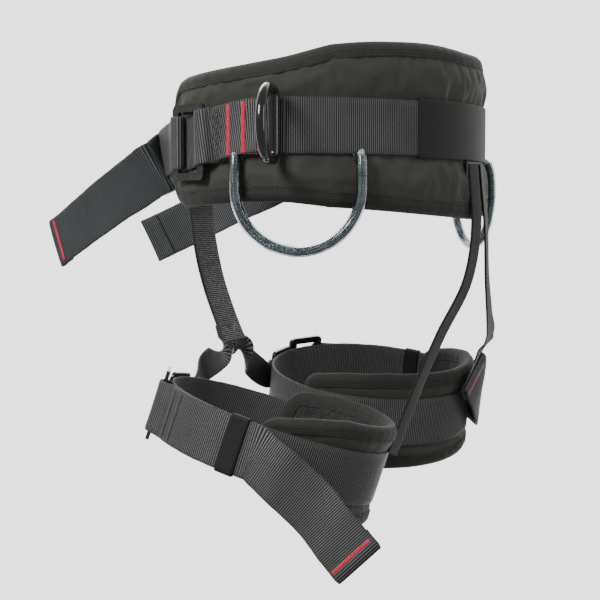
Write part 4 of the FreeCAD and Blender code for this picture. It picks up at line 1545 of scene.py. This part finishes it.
@dataclass
class Front:
    """The strap across the front, the ventral ring's loop and the riser to the legs."""

    width: float = 45.0
    thick: float = 2.4
    height: float = -22.0
    ring_out: float = 7.2
    wrap: float = 5.75

    def make(self) -> None:
        """Make the front's pieces."""
        half = [(-76.0, 3.7), (-71.0, 3.8), (-67.0, 4.8), (-64.4, 5.3), (-62.6, 4.3), (-62.0, 2.0),
                (-62.5, -0.3), (-64.5, -1.15), (-70.0, -1.2), (-76.0, -1.2), (-83.0, -1.2), (-90.0, -1.2)]
        stations = [OVAL.station(Side.LEFT, angle, out, self.height) for angle, out in half]
        stations += [OVAL.station(Side.RIGHT, angle, out, self.height) for angle, out in half[:-1][::-1]]
        piece = Strap(self.width, self.thick).lay(stations).piece("front_strap_web", WEBBING)
        settle(piece, "waist", WEBBING, "front_strap")
        self.make_ring_loop()
        self.make_riser()

    def make_ring_loop(self) -> None:
        """The loop that holds the ventral ring's bar."""
        marks = [(-43.0, 1.3), (-36.0, 1.25), (-30.0, 1.25), (-25.5, 1.32)]
        for turn in np.radians(np.arange(0.0, 226.0, 25.0)):
            height = self.height + self.wrap * math.sin(turn)
            marks.append((height, self.ring_out - self.wrap * math.cos(turn)))
        marks += [(-30.5, 7.4), (-32.5, 4.9), (-34.8, 3.9), (-38.0, 3.75), (-43.0, 3.75)]
        stations = []
        for height, out in marks:
            point = OVAL.at(np.array([-90.0]), out, height)[0]
            stations.append(Station(tuple(point), (1.0, 0.0, 0.0)))
        piece = Strap(32.0, self.thick).lay(stations).piece("ventral_loop_web", WEBBING)
        settle(piece, "waist", WEBBING, "ventral_loop")
        shape = Shape()

        def place(slide: Array, rise: Array) -> tuple[Array, Array, Array]:
            """Places on the loop's face under the ring."""
            rise = np.asarray(rise)
            points = np.stack([rise, np.full_like(rise, -136.0 - 5.15), -39.5 + np.asarray(slide)], axis=1)
            run = np.broadcast_to(np.array(UP), points.shape)
            return points, run, np.broadcast_to(np.array((0.0, -1.0, 0.0)), points.shape)

        tack(shape, place, TACK_PASS, 28.0, 41)
        settle(shape.piece("ventral_tack", RED_THREAD), "waist", RED_THREAD)

    def make_riser(self) -> None:
        """The strap that goes down from the front of the belt to the leg loops."""
        face = -136.0
        marks = ((3.9, -26.0), (4.3, -38.0), (6.2, -52.0), (11.0, -90.0), (20.0, -130.0), (33.0, -165.0),
                 (40.0, -181.0), (42.5, -186.0))
        stations = [Station((0.0, face + back, height), (1.0, 0.0, 0.0)) for back, height in marks]
        piece = Strap(self.width, self.thick).lay(stations).piece("front_riser_web", WEBBING)
        settle(piece, "waist", WEBBING, "front_riser")
        shape = Shape()
        down = unit(np.array((0.0, 13.0, -35.0)))
        out = unit(np.array((0.0, -35.0, -13.0)))
        for side in Side:
            middle = np.array((side.value * 12.0, face + 33.0, -165.0)) + down * 12.0 + out * 1.4
            tack(shape, flat_place(middle, down, np.array((1.0, 0.0, 0.0)), out), TACK_PASS, 18.0, 51)
        settle(shape.piece("front_riser_tacks", RED_THREAD), "waist", RED_THREAD)


@dataclass
class GearLoop:
    """One gear loop: a cord in a clear tube, with its ends under the belt."""

    side: Side
    angles: tuple[float, float]
    out: float = 8.5
    height: float = -21.0
    leg: float = 28.0
    half: float = 50.0
    cord: float = 3.0

    def make(self) -> None:
        """Make the cord, the tube and the tabs."""
        first, last = OVAL.at(self.side.turned(np.array(self.angles)), self.out, self.height)
        middle, along = (first + last) / 2, unit(last - first)
        away = np.cross(along, np.array(UP)) * self.side.value
        tube = self.bent(middle, along, away, ((-23.6, -3.9), (-28.0, -2.4), (-35.0, -0.9), (-42.0, -0.2)))
        cord = self.bent(middle, along, away, ((-19.0, -12.0), (-21.0, -9.6), (-23.5, -5.0), (-28.0, -2.6),
                                               (-35.0, -0.9), (-42.0, -0.2)))
        body = f"gear_loop_{self.side.tag}"
        shape = self.hose(cord, self.cord, away, capped=True)
        settle(shape.piece(f"gear_cord_{self.side.tag}", CORD), body, CORD, f"gear_loop_cord_{self.side.tag}")
        shell = self.hose(tube, TUBE_RADIUS, away)
        bore = self.hose(tube, TUBE_BORE, away)
        points = len(bore.points[0])
        shell.add(bore.points[0], [corners[:, ::-1] for corners, _ in bore.faces], bore.weave[0])
        ring = np.arange(RING_POINTS)
        rim = np.stack([ring, ring + points, np.roll(ring, -1) + points, np.roll(ring, -1)], axis=1)
        for base, order in ((0, 1), (points - RING_POINTS, -1)):
            shell.faces.append(((rim + base)[:, ::order], 0))
        settle(shell.piece(f"gear_tube_{self.side.tag}", TUBE), body, TUBE, f"gear_loop_tube_{self.side.tag}")
        self.make_tabs()

    def bent(self, middle: Array, along: Array, away: Array, ends: Sequence[tuple[float, float]]) -> Array:
        """The loop's line, with its ends drawn in towards the belt.

        Args:
            middle: The place between its ends.
            along: The way from its first end to its last.
            away: The way out from the waist.
            ends: Height and distance out of each end's points, from the top down.

        Returns:
            The points of the line.
        """
        turns = np.radians(np.arange(0.0, 181.0, 4.0))
        flat = [(-self.half, height - self.height, out) for height, out in ends]
        flat += [(-self.half * math.cos(t), -self.leg - self.half * math.sin(t), 0.0) for t in turns]
        flat += [(self.half, height - self.height, out) for height, out in ends[::-1]]
        points = np.array([middle + along * x + np.array(UP) * z + away * out for x, z, out in flat])
        return smooth_path(points, 0.8)[0]

    @staticmethod
    def hose(path: Array, radius: float, away: Array, capped: bool = False) -> Shape:
        """A round bar along a line.

        Args:
            path: Points of its middle line.
            radius: Its radius.
            away: The way that its first point of each ring faces.
            capped: Whether its ends are filled.

        Returns:
            The shape that holds it.
        """
        ahead = unit(np.gradient(path, axis=0))
        beside = unit(np.cross(ahead, away))
        normal = np.cross(beside, ahead)
        around = np.arange(RING_POINTS) / RING_POINTS * 2 * math.pi
        run = np.arange(len(path))[:, None] * 0.8
        points = path[:, None] + normal[:, None] * (radius * np.cos(around))[:, None]
        points = points + beside[:, None] * (radius * np.sin(around))[:, None]
        weave = np.stack(np.broadcast_arrays(run, around[None], np.ones((1, 1))), axis=-1)
        shape = Shape()
        shape.lattice(points, weave, capped=capped)
        return shape.outward()

    def make_tabs(self) -> None:
        """The two small webbing tabs that hold the cord's ends on the pad, under the belt."""
        shape = Shape()
        for angle in self.angles:
            turned = self.side.turned(angle)
            turn = math.radians(turned)
            across = (-math.sin(turn), math.cos(turn), 0.0)
            marks = ((-0.4, -37.0), (-0.2, -33.0), (0.1, -28.0), (0.0, -24.0), (-1.6, -19.0))
            stations = []
            for out, height in marks:
                point = OVAL.at(np.array([turned]), out, height)[0]
                stations.append(Station(tuple(point), across))
            Strap(11.0, 1.3, pitch=1.4, ridge=0.1, columns=7).lay(stations, shape)
        # The tabs take the darker copy of the webbing as painted shade for their place under the belt.
        piece = shape.piece(f"gear_tabs_{self.side.tag}", SHADED_WEBBING)
        settle(piece, "waist", SHADED_WEBBING, f"gear_loop_tabs_{self.side.tag}")


# ---------------------------------------------------------------- the legs


@dataclass
class LegLoop:
    """One padded leg loop with its buckle strap, keeper and free tail."""

    leg: LegPlace
    first: float = 12.5
    last: float = 200.0
    root: float = 10.5
    frame_angle: float = -64.0
    frame_out: float = 4.8
    width: float = 45.0
    thick: float = 2.4
    droop: tuple[tuple[float, float, float], ...] = (
        (0, 0, 0), (8, 0, 0.6), (20, -3.5, 2.6), (34, -8, 3.2), (50, -14.5, 0.4), (66, -21, -1.6),
        (94, -36, 0.2), (118, -49, 0),
    )
    wrap: tuple[tuple[float, float, float, float], ...] = (
        (10.5, 1.6, 0.0, 0.0), (20.0, 3.0, 0.0, 0.0), (34.0, 5.6, -1.0, 0.0), (50.0, 8.2, -3.0, 0.0),
        (64.0, 9.6, -2.0, 0.15), (76.0, 10.0, 6.0, 0.5), (86.0, 10.5, 22.0, 0.8), (96.0, 11.0, 43.0, 0.8),
    )

    @property
    def tag(self) -> str:
        """The ending of this leg's names."""
        return self.leg.side.tag

    @property
    def body(self) -> str:
        """The CAD body of the loop."""
        return f"leg_{self.tag}"

    def make(self) -> None:
        """Make every piece of the loop."""
        self.make_pad()
        self.make_loop()
        self.make_strap()
        self.make_keeper()
        self.make_tacks()
        self.make_link()

    def make_pad(self) -> None:
        """The loop's pad, shallower in front than behind."""
        per_mm = math.degrees(1 / self.leg.radius)
        length = (self.last - self.first) / per_mm
        angles = (12.5, 22.0, 38.0, 55.0, 150.0, 175.0, 200.0)
        tops = (27.0, 31.0, 38.0, 43.0, 44.0, 40.0, 32.0)
        lows = (25.0, 25.5, 31.0, 39.0, 43.0, 40.0, 34.0)

        def surface(s: Array, z: Array, out: Array) -> Array:
            """Places on the pad, which flares a little above and below the strap."""
            flare = 2.2 * ease(20.0, 46.0, np.abs(z))
            return self.leg.at(self.first + s * per_mm, out + flare, z)

        pad = Pad(
            f"leg_pad_form_{self.tag}", self.body, length, surface,
            lambda s: self.leg.outward(self.first + s * per_mm),
            lambda s: np.interp(self.first + s * per_mm, angles, tops),
            lambda s: np.interp(self.first + s * per_mm, angles, lows),
            lambda s: np.zeros_like(s), WEB_HALF, corner=16.0, outer=-2.4, thick=7.6, swell=1.8,
            edge_half=2.0, travel=3.0,
        )
        nodes = [f"leg_pad_{self.tag}", f"leg_pad_cover_{self.tag}", f"leg_pad_lining_{self.tag}"]
        pad.make(PAD_CLOTH, nodes, f"leg_pad_binding_{self.tag}")

    def make_loop(self) -> None:
        """The webbing all the way round the leg."""
        stations = [self.leg.station(float(a), -1.2) for a in np.linspace(-95.0, 265.5, 121)]
        piece = Strap(self.width, self.thick).lay(stations).piece(f"leg_loop_web_{self.tag}", WEBBING)
        settle(piece, self.body, WEBBING, f"leg_webbing_{self.tag}")

    def tail_stations(self) -> tuple[list[Station], Array]:
        """The stations of the free tail: drooping on the left, round the leg on the right.

        Returns:
            The stations, and the tail's root.
        """
        side = self.leg.side
        root = self.leg.at(np.array([self.root]), 1.2)[0]
        up = self.leg.turn(np.array(UP))
        stations = []
        if side is Side.LEFT:
            turn = math.radians(self.root)
            slant = self.leg.turn(np.array((-math.sin(turn) * 0.15, math.cos(turn), 0.0)))
            out = self.leg.outward(self.root)
            for along, rise, lift in self.droop:
                point = root + slant * along + up * rise + out * lift
                stations.append(Station(tuple(point), tuple(up)))
            return stations, root
        for angle, out, height, lean in self.wrap:
            turn = math.radians(side.turned(angle))
            around = self.leg.turn(np.array((math.sin(turn), -math.cos(turn), 0.0)))
            across = around * -lean + up * math.sqrt(1 - lean**2)
            stations.append(Station(tuple(self.leg.at(np.array([angle]), out, height)[0]), tuple(across)))
        return stations, root

    def make_strap(self) -> None:
        """The doubled strap from the buckle frame through the keeper to the free end."""
        plane = FlatPart.on_leg(self.leg, self.frame_angle, self.frame_out)
        marks = ((3.0, -3.3), (7.5, -2.2), (10.2, 0.6), (12.4, 2.7), (16.0, 3.2), (20.0, 2.6), (24.0, 0.3))
        stations = [plane.station(along, out, 0.97) for along, out in marks]
        for angle in (-45.5, -41.0, -34.0, -24.0, -14.0, -5.0, 3.0):
            stations.append(self.leg.station(angle, 2.0 if angle < -45 else 1.3))
        tail, root = self.tail_stations()
        end, before = np.array(tail[-1].point), np.array(tail[-2].point)
        ahead = unit(end - before)
        up = np.array(tail[-1].across)
        up = unit(up - ahead * float(up @ ahead))
        away = unit(np.cross(ahead, up)) * self.leg.side.value
        stations += tail[:-1] + hem(end, ahead, up, away, (11.0, 1.0))
        piece = Strap(self.width, self.thick, sway=0.35).lay(stations)
        piece = piece.piece(f"leg_strap_web_{self.tag}", WEBBING)
        start_dir = unit(np.array(tail[1].point) - root)
        tail_body = f"leg_tail_{self.tag}"
        bridge(piece, (self.body, tail_body), root - start_dir * 1.0, root + start_dir * 14.0, WEBBING,
               tail_body)
        shape = Shape()
        spot = end - ahead * 8.0 + away * HEM_FACE
        tack(shape, flat_place(spot, ahead, up, away), TACK_PASS, HEM_TACK, 61)
        settle(shape.piece(f"leg_tail_tack_{self.tag}", RED_THREAD), tail_body, RED_THREAD)

    def make_keeper(self) -> None:
        """The elastic keeper round both layers of the strap."""
        side = self.leg.side
        angle = math.radians(side.turned(4.0))
        across = tuple(self.leg.turn(np.array((-math.sin(angle), math.cos(angle), 0.0))))
        reach, tall, bend = 3.4, 23.5, 2.0
        corners = ((reach, tall), (-reach, tall), (-reach, -tall), (reach, -tall))
        marks: list[tuple[float, float]] = []
        for number, (out, height) in enumerate(corners):
            for turn in np.radians((0.0, 30.0, 60.0, 90.0)):
                angle_here = turn + number * math.pi / 2
                marks.append((out - math.copysign(bend, out) + bend * math.cos(angle_here),
                              height - math.copysign(bend, height) + bend * math.sin(angle_here)))
            following = corners[(number + 1) % 4]
            for share in (0.25, 0.5, 0.75):
                marks.append((out + (following[0] - out) * share, height + (following[1] - height) * share))
        marks.append(marks[0])
        stations = []
        for out, height in marks:
            point = self.leg.at(np.array([4.0]), out, height)[0]
            stations.append(Station(tuple(point), across))
        strap = Strap(15.0, 1.1, pitch=2.0, ridge=0.06, rows=4, columns=9)
        body = f"leg_keeper_{self.tag}"
        piece = strap.lay(stations, closed=True).piece(f"leg_keeper_band_{self.tag}", ELASTIC)
        settle(piece, body, ELASTIC, body)

    def make_tacks(self) -> None:
        """Dark bars of thread beside the buckle."""
        shape = Shape()
        for number, mark in enumerate((-41.0, -34.0)):

            def place(slide: Array, rise: Array, mark: float = mark) -> tuple[Array, Array, Array]:
                """Places on the doubled strap."""
                angle = mark + np.asarray(slide) / math.radians(self.leg.radius)
                away = self.leg.outward(angle)
                up = self.leg.turn(np.array(UP))
                return self.leg.at(angle, self.thick + 0.3, np.asarray(rise)), np.cross(up, away), away

            tack(shape, place, 3.4, 39.5, 71 + number)
        piece = shape.piece(f"leg_bars_{self.tag}", BLACK_THREAD)
        settle(piece, self.body, BLACK_THREAD, f"leg_bartacks_{self.tag}")

    def make_link(self) -> None:
        """The strap from the foot of the front riser to the front of the loop."""
        side = self.leg.side.value
        end = self.leg.at(np.array([-104.0]), 5.0, 4.0)[0]
        start = np.array((side * 12.0, -96.0, -186.0))
        first = start + np.array((-side * 1.0, -4.0, 14.0))
        middle = (start + end) / 2 + np.array((0.0, -5.0, -3.0))
        across = (-side * 0.5, 0.0, 1.0)
        flat = tuple(unit(np.array((-side * 1.0, 0.0, 0.35))))
        beyond = self.leg.at(np.array([-93.0]), 6.6, 3.0)[0]
        stations = [Station(tuple(first), flat), Station(tuple(start), flat), Station(tuple(middle), across),
                    Station(tuple(end), across), Station(tuple(beyond), across)]
        piece = Strap(24.5, self.thick).lay(stations).piece(f"leg_link_web_{self.tag}", WEBBING)
        bridge(piece, ("waist", self.body), start, end, WEBBING, f"leg_link_{self.tag}")


@dataclass
class Risers:
    """The elastic straps from the back of the belt to the leg loops."""

    width: float = 18.0
    thick: float = 1.8

    def make(self) -> None:
        """Make the anchor and both risers."""
        stations = [Station((x, 136.9, -32.0), UP) for x in (-21.5, -10.0, 0.0, 10.0, 21.5)]
        piece = Strap(14.0, 1.6, columns=9).lay(stations).piece("riser_patch", WEBBING)
        settle(piece, "waist", WEBBING, "riser_anchor")
        routes = {
            Side.LEFT: [(11.0, 139.2, -27.0), (11.5, 140.8, -45.0), (13.0, 143.2, -75.0),
                        (20.0, 138.0, -125.0), (38.0, 120.0, -172.0)],
            Side.RIGHT: [(-11.0, 139.2, -27.0), (-11.5, 140.8, -45.0), (-13.0, 143.2, -75.0),
                         (-28.0, 140.5, -125.0), (-60.0, 133.0, -160.0), (-120.0, 114.0, -188.0)],
        }
        ends = {Side.LEFT: ((112.0, 4.0, 34.0), (111.0, 3.2, 20.0)),
                Side.RIGHT: ((56.0, 9.0, 40.0), (56.0, 3.0, 24.0))}
        for side, marks in ends.items():
            routes[side] += [tuple(LEGS[side].at(np.array([angle]), out, height)[0])
                             for angle, out, height in marks]
        for side, route in routes.items():
            stations = [Station(point, (side.value, -0.15, 0.0)) for point in route]
            strap = Strap(self.width, self.thick, pitch=1.6, ridge=0.05, columns=9, sway=0.2)
            piece = strap.lay(stations).piece(f"riser_web_{side.tag}", ELASTIC)
            x, y = route[2][0], route[2][1]
            bodies = ("waist", f"leg_{side.tag}")
            bridge(piece, bodies, (x, y, -50.0), (x, y, -150.0), ELASTIC, f"riser_{side.tag}")


# ---------------------------------------------------------------- studio


@dataclass
class Studio:
    """Surroundings, light and camera."""

    dim: float = 0.42
    bright: float = 2.6
    lens: float = 90.06
    right: tuple[float, float] = (-0.4067, 0.9135)
    toward: tuple[float, float] = (0.9135, 0.4067)
    aside: float = -0.0247
    distance: float = 1.35

    def lamp(self, name: str, place: Sequence[float], size: tuple[float, float], power: float) -> None:
        """Add one soft box, turned towards the harness.

        Args:
            name: Its name.
            place: Where it stands, in metres.
            size: Its width and height.
            power: Its power in watts.
        """
        data = bpy.data.lights.new(name, "AREA")
        data.shape = "RECTANGLE"
        data.size, data.size_y = size
        data.energy = power
        lamp = bpy.data.objects.new(name, data)
        lamp.location = Vector(place)
        lamp.rotation_euler = (Vector((0.0, 0.0, -0.15)) - Vector(place)).to_track_quat("-Z", "Y").to_euler()
        bpy.context.scene.collection.objects.link(lamp)

    def air(self) -> None:
        """Make the surroundings: a bright wall behind the harness and dimmer air in front of it."""
        world = bpy.data.worlds.new("studio air")
        world.use_nodes = True
        tree = world.node_tree
        place = tree.nodes.new("ShaderNodeTexCoord")
        facing = tree.nodes.new("ShaderNodeVectorMath")
        facing.operation = "DOT_PRODUCT"
        facing.inputs[1].default_value = (-self.toward[0], -self.toward[1], 0.0)
        wall = tree.nodes.new("ShaderNodeMapRange")
        wall.interpolation_type = "SMOOTHSTEP"
        wall.inputs["From Min"].default_value = 0.3
        wall.inputs["From Max"].default_value = 0.88
        wall.inputs["To Min"].default_value = self.dim
        wall.inputs["To Max"].default_value = self.bright
        sky = tree.nodes["Background"]
        tree.links.new(place.outputs["Generated"], facing.inputs[0])
        tree.links.new(facing.outputs["Value"], wall.inputs["Value"])
        tree.links.new(wall.outputs["Result"], sky.inputs["Strength"])
        sky.inputs["Color"].default_value = (1.0, 0.995, 0.985, 1.0)
        bpy.context.scene.world = world

    def make(self) -> None:
        """Make the lamps, the surroundings and the camera."""
        self.air()
        toward = Vector((*self.toward, 0.0))
        right = Vector((*self.right, 0.0))
        self.lamp("key", toward * 1.5 - right * 1.3 + Vector((0, 0, 1.2)), (0.8, 0.8), 60.0)
        self.lamp("side", toward * 0.7 + right * 1.8 + Vector((0, 0, 0.3)), (0.3, 1.4), 9.0)
        self.lamp("rim", toward * -1.4 - right * 0.6 + Vector((0, 0, 1.5)), (1.4, 0.7), 26.0)
        camera = bpy.data.cameras.new("camera")
        camera.lens = self.lens
        camera.sensor_width = 36.0
        camera.clip_end = 30.0
        eye = bpy.data.objects.new("camera", camera)
        aim = right * self.aside + Vector((0.0, 0.0, -0.147))
        eye.location = right * self.aside + toward * self.distance + Vector((0.0, 0.0, -0.067))
        eye.rotation_euler = (aim - eye.location).to_track_quat("-Z", "Y").to_euler()
        bpy.context.scene.collection.objects.link(eye)
        bpy.context.scene.camera = eye


def main() -> None:
    """Build the harness piece by piece, then the studio."""
    logging.basicConfig(level=logging.INFO, format="%(name)s: %(message)s")
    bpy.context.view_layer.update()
    WaistPad().make()
    Belt().make()
    for side in Side:
        WaistBuckle(side).make()
    Front().make()
    GearLoop(Side.LEFT, (-1.0, 48.5)).make()
    GearLoop(Side.RIGHT, (35.5, 66.0)).make()
    Risers().make()
    for leg in LEGS.values():
        LegLoop(leg).make()
    tags = [side.tag for side in Side]
    coat([f"d_ring_{tag}" for tag in tags] + ["ventral_ring"], STEEL)
    flat = ("waist_frame", "waist_plate", "leg_frame", "leg_plate")
    coat([f"{name}_{tag}" for name in flat for tag in tags], STEEL, bevel=0.7)
    Studio().make()


if __name__ == "__main__":
    main()
